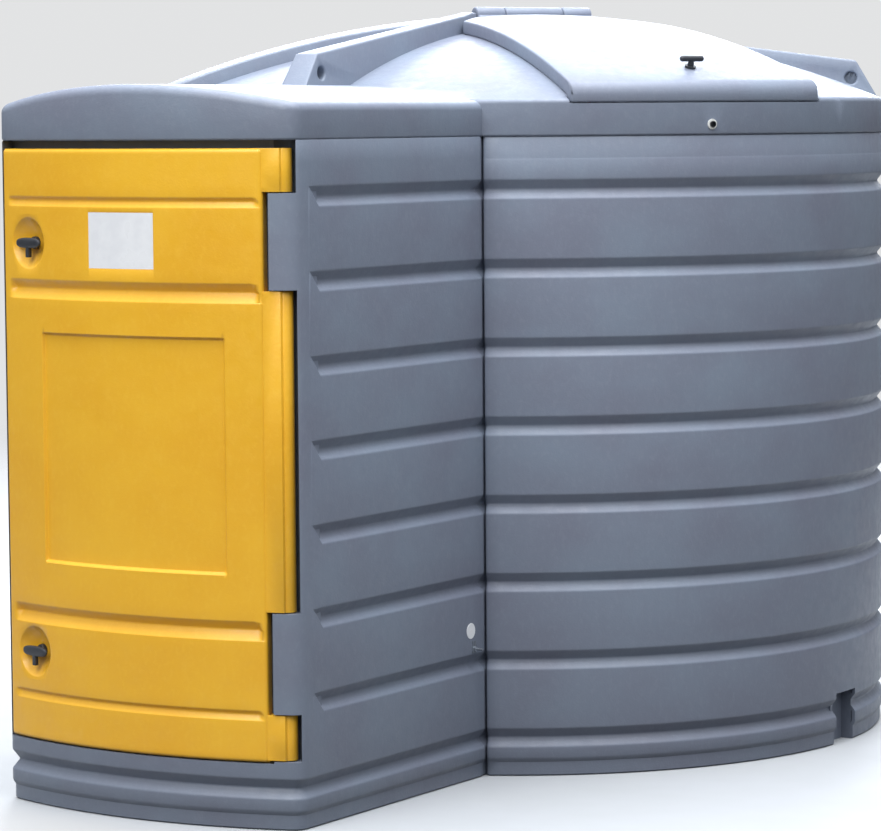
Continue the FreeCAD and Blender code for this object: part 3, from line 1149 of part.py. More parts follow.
def terminal_box():
    """Terminal box on the motor, with the pump's switch on its front."""
    body = box(-BOX_HALF, BOX_HALF, BOX_Y[0], BOX_Y[1], BOX_Z[0], BOX_Z[1])
    lid = box(-BOX_HALF - 4, BOX_HALF + 4, BOX_Y[0] - 4, BOX_Y[1] + 4, BOX_Z[1], BOX_Z[1] + BOX_LID_H)
    hole = rod(4 + RUN_GAP, 20, V(0, BOX_Y[0] - 1, SWITCH_Z), Y)
    seat = box(-30, 30, BOX_Y[0] + 4, BOX_Y[1] - 4, PORT_Z, BOX_Z[0])
    seat = seat.cut(rod(MOTOR_R, 4 * MOTOR_R, V(0, BOX_Y[0] - MOTOR_R, PORT_Z), Y))
    return joined([body, lid, seat]).cut(hole)


def pump_switch():
    """Turn switch for the pump."""
    front = BOX_Y[0] - SEAT_GAP
    disc = rod(16, 7, V(0, front - 7, SWITCH_Z), Y)
    grip = box(-4, 4, front - 19, front - 7, SWITCH_Z - 15, SWITCH_Z + 15)
    return joined([disc, grip, rod(4, 12, V(0, front, SWITCH_Z), Y)])


def flow_meter():
    """Flow meter's cast body between the pump's outlet and the hose tail."""
    body = rod(METER_R, METER_T, V(METER_MID, PORT_Y - METER_FRONT, PORT_Z), Y)
    bosses = [rod(24, (METER_X[1] - METER_X[0]), V(METER_X[0], PORT_Y, PORT_Z), X)]
    nipple = rod(NIPPLE_R, METER_X[0] - PUMP_HALF, V(PUMP_HALF, PORT_Y, PORT_Z), X)
    return joined([body, nipple] + bosses)


def pump_nipple():
    """Threaded nipple between the filter head and the pump."""
    return joined([rod(NIPPLE_R, -PUMP_HALF - FILTER_X[1], V(FILTER_X[1], PORT_Y, PORT_Z), X),
                   hexagon(36, 8, V(FILTER_X[1] + 8, PORT_Y, PORT_Z), X)])


def meter_register():
    """Counter housing on the front of the flow meter, with a sunk dial."""
    front = REGISTER_Y
    body = rod(METER_R + 4, REGISTER_T, V(METER_MID, front, PORT_Z), Y)
    dial = rod(METER_R - 4, 6, V(METER_MID, front, PORT_Z), Y)
    knob_hole = rod(4 + RUN_GAP, 20, V(METER_MID + METER_R - 12, front + REGISTER_T / 2, PORT_Z), X)
    return body.cut([dial, knob_hole])


def meter_knob():
    """Knob that sets the counter back to zero."""
    y = REGISTER_Y + REGISTER_T / 2
    edge = METER_MID + METER_R + 4 + SEAT_GAP
    knob = joined([rod(13, 16, V(edge, y, PORT_Z), X), rod(4, 12, V(edge - 12, y, PORT_Z), X)])
    flutes = []
    for i in range(8):
        a = math.radians(45 * i)
        flutes.append(rod(3, 18, V(edge - 1, y + 14.5 * math.cos(a), PORT_Z + 14.5 * math.sin(a)), X))
    return knob.cut(flutes)


def hose_tail():
    """Elbow and tail at the meter's outlet, where the delivery hose is pushed on."""
    low = PORT_Z - TAIL_DROP
    points = [V(METER_X[1], PORT_Y, PORT_Z), V(TAIL_X, PORT_Y, PORT_Z), V(TAIL_X, PORT_Y, low + 14)]
    elbow = joined([bent_bar(points, 18, 30), hexagon(38, 14, V(TAIL_X, PORT_Y, low)),
                    rod(TAIL_R, TAIL_LENGTH, V(TAIL_X, PORT_Y, low - TAIL_LENGTH))])
    bore = joined([bent_bar(points, 10, 30),
                   rod(TAIL_R - 3.5, TAIL_DROP + TAIL_LENGTH, V(TAIL_X, PORT_Y, low - TAIL_LENGTH))])
    return elbow.cut(bore)


def nozzle_holder():
    """Holster on the bay's left wall that the nozzle's spout drops into."""
    z0, z1 = HOLDER_Z
    sleeve = ring(SPOUT_R + SPOUT_ROOM + 4, SPOUT_R + SPOUT_ROOM, z1 - z0, V(NOZZLE_X, NOZZLE_Y, z0))
    cup = rod(SPOUT_R + SPOUT_ROOM + 4, 4, V(NOZZLE_X, NOZZLE_Y, z0))
    plate = box(BAY_X[0], BAY_X[0] + 4, NOZZLE_Y - 45, NOZZLE_Y + 45, z0 + 5, z1 - 5)
    web = box(BAY_X[0] + 4, NOZZLE_X - SPOUT_R - SPOUT_ROOM + 1, NOZZLE_Y - 8, NOZZLE_Y + 8, z0 + 5, z1 - 5)
    web = web.cut(rod(SPOUT_R + SPOUT_ROOM + 1, z1 - z0, V(NOZZLE_X, NOZZLE_Y, z0)))
    return joined([sleeve, cup, plate, web])


def in_nozzle(y, z):
    """Point in the nozzle's own plane, from the mouth of its holder."""
    return V(NOZZLE_X, NOZZLE_Y + y, HOLDER_Z[1] + z)


def nozzle_spout():
    """Spout of the delivery nozzle."""
    foot, top = in_nozzle(0, -SPOUT_DOWN), in_nozzle(0, SPOUT_UP)
    body = rod(SPOUT_R, (top - foot).Length, foot)
    return body.cut(rod(SPOUT_R - 2, (top - foot).Length - 10, foot))


def nozzle_body():
    """Cast body of the delivery nozzle, with its grip and inlet."""
    shoulder = rod(20, 26, in_nozzle(0, 0.3))
    casing = bent_bar([in_nozzle(0, 20), in_nozzle(0, 60), in_nozzle(-70, 170)], CASING_R, 40)
    grip = bent_bar([in_nozzle(-66, 165), in_nozzle(-80, 187), in_nozzle(-112, 300)], GRIP_R, 60)
    inlet = joined([hexagon(36, 22, in_nozzle(-112, 298), V(0, -0.27, 0.963)),
                    rod(15, 30, in_nozzle(-112, 298), V(0, -0.27, 0.963))])
    pivot_ears = [box(NOZZLE_X + s * 13 - 3, NOZZLE_X + s * 13 + 3, NOZZLE_Y - 62, NOZZLE_Y - 20,
                      HOLDER_Z[1] + 62, HOLDER_Z[1] + 86) for s in (-1, 1)]
    body = joined([shoulder, casing, grip, inlet] + pivot_ears)
    return body.cut([rod(SPOUT_R, 31, in_nozzle(0, 0)), nozzle_guard(),
                     rod(TRIGGER_PIN_R + RUN_GAP, 60, trigger_pivot() - V(30, 0, 0), X)])


def trigger_pivot():
    """Point on the axis of the nozzle's trigger."""
    return in_nozzle(-52, 74)


def nozzle_trigger():
    """Lever under the nozzle's grip, on its pivot."""
    at = trigger_pivot()
    lever = [V(-TRIGGER_T / 2, y, z) for y, z in ((5, -6), (-12, -6), (-66, 40), (-106, 164), (-99, 166),
                                                  (-58, 44), (-10, 6), (5, 6))]
    blade = Part.Face(Part.makePolygon(lever + lever[:1])).extrude(V(TRIGGER_T, 0, 0))
    blade.translate(at)
    return joined([blade, rod(TRIGGER_PIN_R, 40, at - V(20, 0, 0), X)])


def nozzle_guard():
    """Bent guard bar in front of the trigger."""
    points = [in_nozzle(y, z) for y, z in ((-14, 48), (-112, 52), (-190, 150), (-158, 306), (-118, 290))]
    return bent_bar(points, GUARD_R, 18)


def earth_hole():
    """Hole for the earth stud through the cabinet's side."""
    return rod(STUD_R, TANK_WALL + 2, V(CAB_HALF - TANK_WALL - 1, EARTH_Y, EARTH_Z), X)


def earth_stud():
    """Earthing stud on the cabinet's side, with its head inside the wall."""
    inner = CAB_HALF - TANK_WALL
    return joined([rod(STUD_R, TANK_WALL + STUD_OUT, V(inner, EARTH_Y, EARTH_Z), X),
                   hexagon(STUD_NUT, 6, V(inner - 6, EARTH_Y, EARTH_Z), X)])


def earth_tab():
    """Tab, washer and nut on the earth stud."""
    tab = box(CAB_HALF, CAB_HALF + 2, EARTH_Y - 9, EARTH_Y + 9, EARTH_Z - 10, EARTH_Z + 22)
    nut = hexagon(STUD_NUT, 7, V(CAB_HALF + 2, EARTH_Y, EARTH_Z), X)
    return joined([tab, nut]).cut(rod(STUD_R, 20, V(CAB_HALF - 1, EARTH_Y, EARTH_Z), X))


NODES = {
    "outer_tank": outer_tank,
    "inner_tank": inner_tank,
    "roof_cover": roof_cover,
    "roof_bolts": roof_bolts,
    "roof_washers": roof_washers,
    "roof_nuts": roof_nuts,
    "hatch_cover": hatch_cover,
    "hatch_hinge_rod": hatch_hinge_rod,
    "hatch_handle": hatch_handle,
    "hatch_cam": hatch_cam,
    "door": door,
    "door_hinge_rod": door_hinge_rod,
    "upper_door_handle": lambda: door_handle(KNOB_Z[0]),
    "lower_door_handle": lambda: door_handle(KNOB_Z[1]),
    "upper_door_cam": lambda: door_cam(KNOB_Z[0]),
    "lower_door_cam": lambda: door_cam(KNOB_Z[1]),
    "manhole_gasket": manhole_gasket,
    "manhole_lid": manhole_lid,
    "manhole_bolts": manhole_bolts,
    "fill_coupling": fill_coupling,
    "fill_cap": fill_cap,
    "vent_pipe": vent_pipe,
    "vent_cap": vent_cap,
    "gauge_head": gauge_head,
    "gauge_pointer": gauge_pointer,
    "gauge_window": gauge_window,
    "gauge_tube": gauge_tube,
    "gauge_float": gauge_float,
    "suction_tube": suction_tube,
    "foot_valve": foot_valve,
    "suction_pipe": suction_pipe,
    "pipe_grommet": pipe_grommet,
    "filter_head": filter_head,
    "filter_canister": filter_canister,
    "equipment_bracket": equipment_bracket,
    "bracket_bolts": bracket_bolts,
    "pump_nipple": pump_nipple,
    "pump_body": pump_body,
    "pump_cover": pump_cover,
    "pump_screws": pump_screws,
    "pump_motor": pump_motor,
    "motor_fan_cover": motor_fan_cover,
    "terminal_box": terminal_box,
    "pump_switch": pump_switch,
    "flow_meter": flow_meter,
    "meter_register": meter_register,
    "meter_knob": meter_knob,
    "hose_tail": hose_tail,
    "nozzle_holder": nozzle_holder,
    "nozzle_spout": nozzle_spout,
    "nozzle_body": nozzle_body,
    "nozzle_trigger": nozzle_trigger,
    "nozzle_guard": nozzle_guard,
    "earth_stud": earth_stud,
    "earth_tab": earth_tab,
}


os.makedirs("parts", exist_ok=True)
for name, make in NODES.items():
    make().exportStep("parts/" + name + ".step")
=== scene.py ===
"""Looks of the double-walled diesel tank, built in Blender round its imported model.

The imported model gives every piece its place. The grooved tank and the door are made again here
with the soft edges of rotational moulding, and every other piece keeps its solid and gets its
finish. Lengths are in metres: +Z is up and the door faces -Y.
"""
import json
import logging
import math
from collections.abc import Iterable
from dataclasses import dataclass
from enum import Enum
from typing import Any

import bmesh
import bpy
from mathutils import Matrix, Vector
from mathutils.bvhtree import BVHTree

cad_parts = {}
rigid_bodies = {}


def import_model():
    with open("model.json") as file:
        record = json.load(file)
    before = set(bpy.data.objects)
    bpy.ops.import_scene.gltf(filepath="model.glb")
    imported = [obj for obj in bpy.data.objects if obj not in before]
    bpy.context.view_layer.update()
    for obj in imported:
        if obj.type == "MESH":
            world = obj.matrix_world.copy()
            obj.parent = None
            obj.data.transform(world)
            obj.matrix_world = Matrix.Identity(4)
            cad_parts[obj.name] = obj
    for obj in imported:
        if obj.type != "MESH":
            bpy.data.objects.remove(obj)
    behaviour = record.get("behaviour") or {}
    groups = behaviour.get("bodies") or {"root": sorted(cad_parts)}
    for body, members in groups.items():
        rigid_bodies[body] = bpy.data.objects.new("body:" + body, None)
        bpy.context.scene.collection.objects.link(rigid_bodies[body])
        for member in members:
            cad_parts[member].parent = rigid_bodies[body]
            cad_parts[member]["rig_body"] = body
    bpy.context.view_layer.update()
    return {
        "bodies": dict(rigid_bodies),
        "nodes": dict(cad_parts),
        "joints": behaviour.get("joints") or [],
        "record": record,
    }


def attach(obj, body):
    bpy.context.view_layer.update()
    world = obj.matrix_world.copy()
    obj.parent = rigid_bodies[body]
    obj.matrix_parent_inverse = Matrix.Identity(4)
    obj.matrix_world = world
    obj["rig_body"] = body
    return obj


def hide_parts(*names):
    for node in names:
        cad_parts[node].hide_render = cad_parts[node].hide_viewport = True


Tree = bpy.types.NodeTree
Node = bpy.types.Node
Socket = bpy.types.NodeSocket
Shape = bpy.types.Object
Material = bpy.types.Material
Pair = tuple[float, float]
Triple = tuple[float, float, float]
Quad = tuple[float, float, float, float]
Faces = list[tuple[int, ...]]

LOG = logging.getLogger("diesel_tank")
SMOOTH_ANGLE = math.radians(32)
MERGE_DISTANCE = 2e-5
NOISE_ROUGHNESS = 0.55
# Part of a noise pattern, from zero to one, that each mark takes up
CLOUD_RANGE = (0.35, 0.65)
STREAK_RANGE = (0.45, 0.75)
SPECK_RANGE = (0.5, 0.72)
GLOSS_RANGE = (0.3, 0.7)
SCUFF_RANGE = (0.4, 0.8)
UPWARDS = Vector((0, 0, 1))


def linear(code: str) -> Quad:
    """Turns an sRGB hex colour into Blender's linear values.

    Args:
        code: Six hex digits with a leading hash.

    Returns:
        Linear red, green and blue with an alpha of one.
    """
    parts = [int(code[i:i + 2], 16) / 255 for i in (1, 3, 5)]
    values = [c / 12.92 if c <= 0.04045 else ((c + 0.055) / 1.055) ** 2.4 for c in parts]
    return values[0], values[1], values[2], 1.0


def add(tree: Tree, kind: str, inputs: dict[Any, Any] | None = None, **settings: Any) -> Node:
    """Adds a node with its settings, values and links.

    Args:
        tree: Node tree that gets the node.
        kind: Blender's node type.
        inputs: Socket name or index to a value, or to an output socket to link.
        settings: Properties of the node itself.

    Returns:
        The new node.
    """
    node = tree.nodes.new(kind)
    for key, value in settings.items():
        setattr(node, key, value)
    for key, value in (inputs or {}).items():
        if isinstance(value, Socket):
            tree.links.new(value, node.inputs[key])
        else:
            node.inputs[key].default_value = value
    return node


def noise(tree: Tree, size: float, stretch: Triple = (1, 1, 1), detail: float = 3.0) -> Socket:
    """Adds a noise pattern on Object coordinates.

    Args:
        tree: Node tree that gets the pattern.
        size: Size of one blotch in metres.
        stretch: How much the pattern is squeezed along each axis.
        detail: Octaves of finer noise.

    Returns:
        The pattern's factor, from zero to one.
    """
    place = add(tree, "ShaderNodeTexCoord")
    scaled = add(tree, "ShaderNodeMapping", {"Vector": place.outputs["Object"], "Scale": stretch})
    pattern = add(tree, "ShaderNodeTexNoise", {"Vector": scaled.outputs["Vector"], "Scale": 1 / size,
                                               "Detail": detail, "Roughness": NOISE_ROUGHNESS})
    return pattern.outputs["Fac"]


def spread(tree: Tree, value: Socket, low: float, high: float,
           out_low: float = 0.0, out_high: float = 1.0) -> Socket:
    """Stretches a value from one range to another and stops at its ends.

    Args:
        tree: Node tree that gets the node.
        value: Socket to read.
        low: Value that gives out_low.
        high: Value that gives out_high.
        out_low: Result at the low end.
        out_high: Result at the high end.

    Returns:
        The stretched value.
    """
    node = add(tree, "ShaderNodeMapRange", {"Value": value, "From Min": low, "From Max": high,
                                            "To Min": out_low, "To Max": out_high})
    return node.outputs["Result"]


def mixed(tree: Tree, factor: Any, low: Any, high: Any) -> Socket:
    """Mixes two colours by a factor.

    Args:
        tree: Node tree that gets the mix.
        factor: Number or socket.
        low: Colour or socket at zero.
        high: Colour or socket at one.

    Returns:
        The mixed colour.
    """
    return add(tree, "ShaderNodeMix", {0: factor, 6: low, 7: high}, data_type="RGBA").outputs[2]


@dataclass(frozen=True)
class Finish:
    """A surface as its maker would name it, with typical values for its material."""

    name: str
    colour: str
    shade: str
    roughness: float
    metallic: float = 0.0
    ior: float = 1.5
    blotch: float = 0.03
    grain: float = 0.003
    grain_depth: float = 0.0002
    stretch: Triple = (1.0, 1.0, 1.0)
    rough_swing: float = 0.08
    grain_strength: float = 0.6

    def build(self) -> Material:
        """Makes the material.

        Returns:
            The finished material.
        """
        material = bpy.data.materials.new(self.name)
        material.use_nodes = True
        tree = material.node_tree
        tree.nodes.clear()
        shader = add(tree, "ShaderNodeBsdfPrincipled", {"Metallic": self.metallic, "IOR": self.ior,
                                                        **self.dress(tree)})
        add(tree, "ShaderNodeOutputMaterial", {"Surface": self.cover(tree, shader.outputs["BSDF"])})
        return material

    def dress(self, tree: Tree) -> dict[str, Any]:
        """Adds this finish's cloudy colour, uneven gloss and fine grain.

        Args:
            tree: The material's node tree.

        Returns:
            Value or socket for each of the shader's inputs that it sets.
        """
        cloud = spread(tree, noise(tree, self.blotch, self.stretch), *CLOUD_RANGE)
        grain = noise(tree, self.grain, self.stretch, 2.0)
        bump = add(tree, "ShaderNodeBump", {"Height": grain, "Distance": self.grain_depth,
                                            "Strength": self.grain_strength})
        return {"Base Color": mixed(tree, cloud, linear(self.colour), linear(self.shade)),
                "Roughness": self.gloss(tree, cloud, 0.0, 1.0), "Normal": bump.outputs["Normal"]}

    def gloss(self, tree: Tree, pattern: Socket, low: float, high: float) -> Socket:
        """Swings the roughness about its middle as a pattern goes from low to high."""
        return spread(tree, pattern, low, high, self.roughness - self.rough_swing,
                      self.roughness + self.rough_swing)

    def cover(self, tree: Tree, surface: Socket) -> Socket:
        """Gives what the material shows; a finish that is see-through somewhere mixes it in here."""
        return surface


@dataclass(frozen=True)
class Rotomoulding(Finish):
    """Polyethylene fused against a turning mould: satin and cloudy, with a pebbled skin, faint streaks and
    painted shade towards the floor.
    """

    speck: str = "#949BA6"
    speck_size: float = 0.012
    speck_share: float = 0.14
    speck_stretch: Triple = (1, 1, 0.7)
    streak: float = 0.03
    streak_stretch: Triple = (1, 1, 0.12)
    streak_share: float = 0.2
    wave: float = 0.06
    wave_depth: float = 0.0015
    wave_strength: float = 0.35
    cloud: float = 0.32
    cloud_stretch: Triple = (1, 1, 1.4)
    # Painted shade: a darker colour mixed in more and more towards the floor, for the shade low on the walls
    painted_low_shade: str = "#4E535E"
    painted_low_shade_top: float = 1.0
    painted_low_shade_share: float = 0.35

    def dress(self, tree: Tree) -> dict[str, Any]:
        """Adds clouds, specks, streaks, painted shade that darkens the colour towards the floor, and the
        pebbled skin.

        Args:
            tree: The material's node tree.

        Returns:
            Socket for each of the shader's inputs that it sets.
        """
        cloud = spread(tree, noise(tree, self.cloud, self.cloud_stretch, 4.0), *CLOUD_RANGE)
        streak = spread(tree, noise(tree, self.streak, self.streak_stretch), *STREAK_RANGE,
                        0.0, self.streak_share)
        speck = spread(tree, noise(tree, self.speck_size, self.speck_stretch), *SPECK_RANGE,
                       0.0, self.speck_share)
        place = add(tree, "ShaderNodeTexCoord")
        height = add(tree, "ShaderNodeSeparateXYZ", {0: place.outputs["Object"]})
        # Painted shade: darker towards the floor, fading out at the given height
        low = spread(tree, height.outputs["Z"], 0.0, self.painted_low_shade_top, self.painted_low_shade_share, 0.0)
        base = linear(self.colour)
        for share, colour in ((cloud, self.shade), (streak, self.shade),
                              (speck, self.speck), (low, self.painted_low_shade)):
            base = mixed(tree, share, base, linear(colour))
        wide = add(tree, "ShaderNodeBump", {"Height": noise(tree, self.wave), "Distance": self.wave_depth,
                                            "Strength": self.wave_strength})
        fine = add(tree, "ShaderNodeBump", {"Height": noise(tree, self.grain, detail=2.0),
                                            "Distance": self.grain_depth,
                                            "Strength": self.grain_strength,
                                            "Normal": wide.outputs["Normal"]})
        return {"Base Color": base, "Roughness": self.gloss(tree, noise(tree, self.blotch), *GLOSS_RANGE),
                "Normal": fine.outputs["Normal"]}


@dataclass(frozen=True)
class StudioFloor(Finish):
    """Painted floor that fades into the backdrop away from the tank."""

    fade: Pair = (4.0, 11.0)

    def cover(self, tree: Tree, surface: Socket) -> Socket:
        """Lets the floor fade with the distance from the middle.

        Args:
            tree: The material's node tree.
            surface: The painted floor.

        Returns:
            The paint mixed with nothing.
        """
        place = add(tree, "ShaderNodeTexCoord")
        reach = add(tree, "ShaderNodeVectorMath", {0: place.outputs["Object"]}, operation="LENGTH")
        share = spread(tree, reach.outputs["Value"], *self.fade)
        clear = add(tree, "ShaderNodeBsdfTransparent")
        both = add(tree, "ShaderNodeMixShader", {0: share, 1: surface, 2: clear.outputs["BSDF"]})
        return both.outputs["Shader"]


@dataclass(frozen=True)
class ClearPlastic(Finish):
    """Clear polycarbonate of the gauge's window: hard, glossy, a little scuffed."""

    def dress(self, tree: Tree) -> dict[str, Any]:
        """Adds a clear body with fine scuffs.

        Args:
            tree: The material's node tree.

        Returns:
            Value or socket for each of the shader's inputs that it sets.
        """
        scuffs = spread(tree, noise(tree, self.blotch), *SCUFF_RANGE, self.roughness,
                        self.roughness + self.rough_swing)
        return {"Transmission Weight": 1.0, "Base Color": linear(self.colour), "Roughness": scuffs}


class Surface(Enum):
    """Every finish on the tank."""

    # Grey polyethylene of the tank, roof and hatch: satin, cloudy blue-grey, paler specks, painted shade
    # towards the floor
    GREY_MOULDING = Rotomoulding("grey_rotomoulded_polyethylene", "#7B8594", "#757A89", 0.46, grain=0.005,
                                 grain_depth=0.0006)
    # Yellow polyethylene of the door: same skin, even colour, a little more gloss, lighter painted shade
    # towards the floor
    YELLOW_MOULDING = Rotomoulding("yellow_rotomoulded_polyethylene", "#F2B92F", "#ECAF28", 0.36, grain=0.005,
                                   grain_depth=0.0005, speck="#F6C340", speck_share=0.3, painted_low_shade="#D99C20",
                                   painted_low_shade_share=0.15)
    # Dark polyethylene of the sealed inner tank, with painted shade towards the floor
    INNER_MOULDING = Rotomoulding("black_rotomoulded_polyethylene", "#3A3D42", "#33363B", 0.5,
                                  speck="#4A4D52", painted_low_shade="#303338")
    # Glass-filled nylon of the handles and housings: near black, dry, finely spark-eroded
    BLACK_NYLON = Finish("black_moulded_nylon", "#24272C", "#2C2F35", 0.52, grain=0.0016)
    # Zinc plating on rolled steel: pale, slightly clouded, bluish
    ZINC = Finish("zinc_plated_steel", "#A9AEB4", "#8D9299", 0.36, 1.0, blotch=0.012, grain=0.0012)
    # Black oxide on bolt steel
    BLACK_OXIDE = Finish("black_oxide_steel", "#1B1C1F", "#26272B", 0.4, 0.6, blotch=0.006, grain=0.001)
    # White nylon washers
    WHITE_NYLON = Finish("white_nylon", "#E6E6E2", "#D6D6D0", 0.5, blotch=0.008, grain=0.001)
    # Nitrile rubber: dull black with a faint bloom
    NITRILE = Finish("nitrile_rubber", "#17181A", "#232427", 0.72, blotch=0.01, grain=0.0012)
    # Sand-cast aluminium, tumbled: dull grey with a coarse grain
    CAST_ALUMINIUM = Finish("sand_cast_aluminium", "#A3A6A9", "#8B8E92", 0.5, 1.0, blotch=0.015, grain=0.002,
                            grain_depth=0.0004)
    # Enamelled grey iron of the pump's body
    GREY_IRON = Finish("enamelled_grey_iron", "#3F444A", "#363A40", 0.42, blotch=0.02, grain=0.0025,
                       grain_depth=0.0004)
    # Blue-grey enamel on the motor's finned aluminium
    MOTOR_ENAMEL = Finish("blue_grey_enamel", "#2E4360", "#283A54", 0.35, blotch=0.02, grain=0.002)
    # White stove enamel on the filter's deep-drawn steel can
    WHITE_ENAMEL = Finish("white_stove_enamel", "#D9D8D2", "#CFCEC8", 0.28, blotch=0.02, grain=0.001,
                          grain_depth=0.0001)
    # Turned brass, lightly tarnished
    BRASS = Finish("turned_brass", "#B08D4C", "#9A7838", 0.32, 1.0, blotch=0.01, grain=0.001)
    # Black polyethylene pipe
    BLACK_PIPE = Finish("black_polyethylene_pipe", "#1F2023", "#292A2E", 0.45, grain=0.002)
    # Red nylon of the switch and the dust cap
    RED_NYLON = Finish("red_moulded_nylon", "#A8201A", "#981B16", 0.38, blotch=0.01, grain=0.0015)
    # Clear polycarbonate window
    CLEAR = ClearPlastic("clear_polycarbonate", "#F2F6F8", "#F2F6F8", 0.06, ior=1.58, blotch=0.01,
                         rough_swing=0.1)
    # White vinyl film of the blank labels
    WHITE_FILM = Finish("white_vinyl_film", "#EDEEEF", "#E4E5E7", 0.33, blotch=0.05,
                        grain=0.002, grain_depth=0.00005)
    # Floor of the studio
    STUDIO_FLOOR = StudioFloor("pale_studio_floor", "#B2B4B6", "#AEB0B1", 0.7, blotch=0.6,
                               grain=0.02, grain_depth=0.0004)

    def material(self) -> Material:
        """Gives this finish's material, made on first use."""
        return bpy.data.materials.get(self.value.name) or self.value.build()


FINISH_NODES = {
    Surface.INNER_MOULDING: ("inner_tank",),
    Surface.GREY_MOULDING: ("roof_cover", "hatch_cover", "outer_tank"),
    Surface.BLACK_OXIDE: ("roof_bolts",),
    Surface.WHITE_NYLON: ("roof_washers",),
    Surface.ZINC: (
        "roof_nuts", "hatch_hinge_rod", "hatch_cam", "door_hinge_rod", "upper_door_cam", "lower_door_cam",
        "manhole_bolts", "vent_pipe", "equipment_bracket", "bracket_bolts", "pump_nipple", "pump_screws",
        "nozzle_guard", "earth_stud", "earth_tab"),
    Surface.BLACK_NYLON: (
        "hatch_handle", "upper_door_handle", "lower_door_handle", "vent_cap", "gauge_head", "gauge_float",
        "motor_fan_cover", "terminal_box", "meter_register", "meter_knob", "nozzle_holder"),
    Surface.NITRILE: ("manhole_gasket", "pipe_grommet", "nozzle_body"),
    Surface.CAST_ALUMINIUM: (
        "manhole_lid", "fill_coupling", "gauge_tube", "filter_head", "pump_cover", "flow_meter",
        "nozzle_spout", "nozzle_trigger"),
    Surface.RED_NYLON: ("fill_cap", "gauge_pointer", "pump_switch"),
    Surface.CLEAR: ("gauge_window",),
    Surface.BLACK_PIPE: ("suction_tube", "suction_pipe"),
    Surface.BRASS: ("foot_valve", "hose_tail"),
    Surface.WHITE_ENAMEL: ("filter_canister",),
    Surface.GREY_IRON: ("pump_body",),
    Surface.MOTOR_ENAMEL: ("pump_motor",),
    Surface.YELLOW_MOULDING: ("door",),
}
NODE_FINISH = {node: surface for surface, nodes in FINISH_NODES.items() for node in nodes}


def add_object(name: str, data: Any) -> Shape:
    """Adds an object with its data to the scene."""
    thing = bpy.data.objects.new(name, data)
    bpy.context.scene.collection.objects.link(thing)
    return thing


def aimed(name: str, data: Any, place: Any, ahead: Vector, roll: float = 0.0) -> Shape:
    """Adds a camera or a lamp that looks along a direction.

    Args:
        name: The object's name.
        data: Its camera or light.
        place: Where it stands.
        ahead: Direction that it looks along.
        roll: Degrees that it turns about that direction.

    Returns:
        The new object.
    """
    thing = add_object(name, data)
    turn = ahead.to_track_quat("-Z", "Y").to_matrix().to_4x4()
    thing.matrix_world = Matrix.Translation(place) @ turn @ Matrix.Rotation(math.radians(roll), 4, "Z")
    return thing


def mesh_object(name: str, points: list[Vector], faces: Faces, surface: Surface | None) -> Shape:
    """Makes a mesh object at the origin.

    Args:
        name: The object's name.
        points: Vertices in metres.
        faces: Vertex numbers of each face.
        surface: Finish, or None for a cutter.

    Returns:
        The new object.
    """
    mesh = bpy.data.meshes.new(name)
    mesh.from_pydata(points, [], faces)
    if surface:
        mesh.materials.append(surface.material())
    return add_object(name, mesh)


def tidy(shape: Shape, angle: float = SMOOTH_ANGLE, flip: bool = True) -> None:
    """Merges doubles, splits many-sided faces, points all outwards and smooths across shallow edges.

    Args:
        shape: Object to tidy.
        angle: Edges sharper than this stay sharp.
        flip: Whether the faces' directions are worked out again.
    """
    work = bmesh.new()
    work.from_mesh(shape.data)
    bmesh.ops.remove_doubles(work, verts=work.verts, dist=MERGE_DISTANCE)
    bmesh.ops.dissolve_degenerate(work, edges=work.edges, dist=MERGE_DISTANCE)
    bmesh.ops.triangulate(work, faces=[f for f in work.faces if len(f.verts) > 4])
    if flip:
        bmesh.ops.recalc_face_normals(work, faces=work.faces)
    for face in work.faces:
        face.smooth = True
    for edge in work.edges:
        edge.smooth = len(edge.link_faces) != 2 or edge.calc_face_angle() < angle
    work.to_mesh(shape.data)
    work.free()


def grid_faces(rows: int, columns: int, closed: bool) -> Faces:
    """Lists the quads of a grid of vertices, row after row.

    Args:
        rows: Number of rows.
        columns: Number of vertices in a row.
        closed: Whether each row's last vertex joins its first.

    Returns:
        Vertex numbers of each quad.
    """
    faces = []
    for r in range(rows - 1):
        for c in range(columns if closed else columns - 1):
            n = (c + 1) % columns
            faces.append((r * columns + c, r * columns + n, (r + 1) * columns + n, (r + 1) * columns + c))
    return faces


def tube_faces(rows: int, sides: int) -> Faces:
    """Lists the faces of a closed tube: its rings of quads and a face at each end."""
    last = (rows - 1) * sides
    return grid_faces(rows, sides, True) + [tuple(range(sides))[::-1], tuple(range(last, last + sides))]


def slab_faces(rows: int, columns: int) -> Faces:
    """Lists the faces of a closed slab: its front grid, its back grid and the rim between them.

    Args:
        rows: Number of rows in each grid.
        columns: Number of vertices in a row.

    Returns:
        Vertex numbers of each face; the back grid's vertices follow the front grid's.
    """
    count = rows * columns
    front = grid_faces(rows, columns, False)
    back = [tuple(count + v for v in reversed(face)) for face in front]
    ring = list(range(columns)) + [r * columns + columns - 1 for r in range(1, rows)]
    ring += [(rows - 1) * columns + c for c in range(columns - 2, -1, -1)]
    ring += [r * columns for r in range(rows - 2, 0, -1)]
    rim = [(b, a, count + a, count + b) for a, b in zip(ring, ring[1:] + ring[:1])]
    return front + back + rim


def prism(name: str, outline: list[Pair], low: float, high: float) -> Shape:
    """Makes an upright prism over a plan.

    Args:
        name: The object's name.
        outline: Plan points in order.
        low: Height of its foot.
        high: Height of its top.

    Returns:
        The prism, with no finish.
    """
    points = [Vector((x, y, z)) for z in (low, high) for x, y in outline]
    return mesh_object(name, points, tube_faces(2, len(outline)), None)


def block(name: str, low: Triple, high: Triple) -> Shape:
    """Makes a box between two corners."""
    outline = [(low[0], low[1]), (high[0], low[1]), (high[0], high[1]), (low[0], high[1])]
    return prism(name, outline, low[2], high[2])


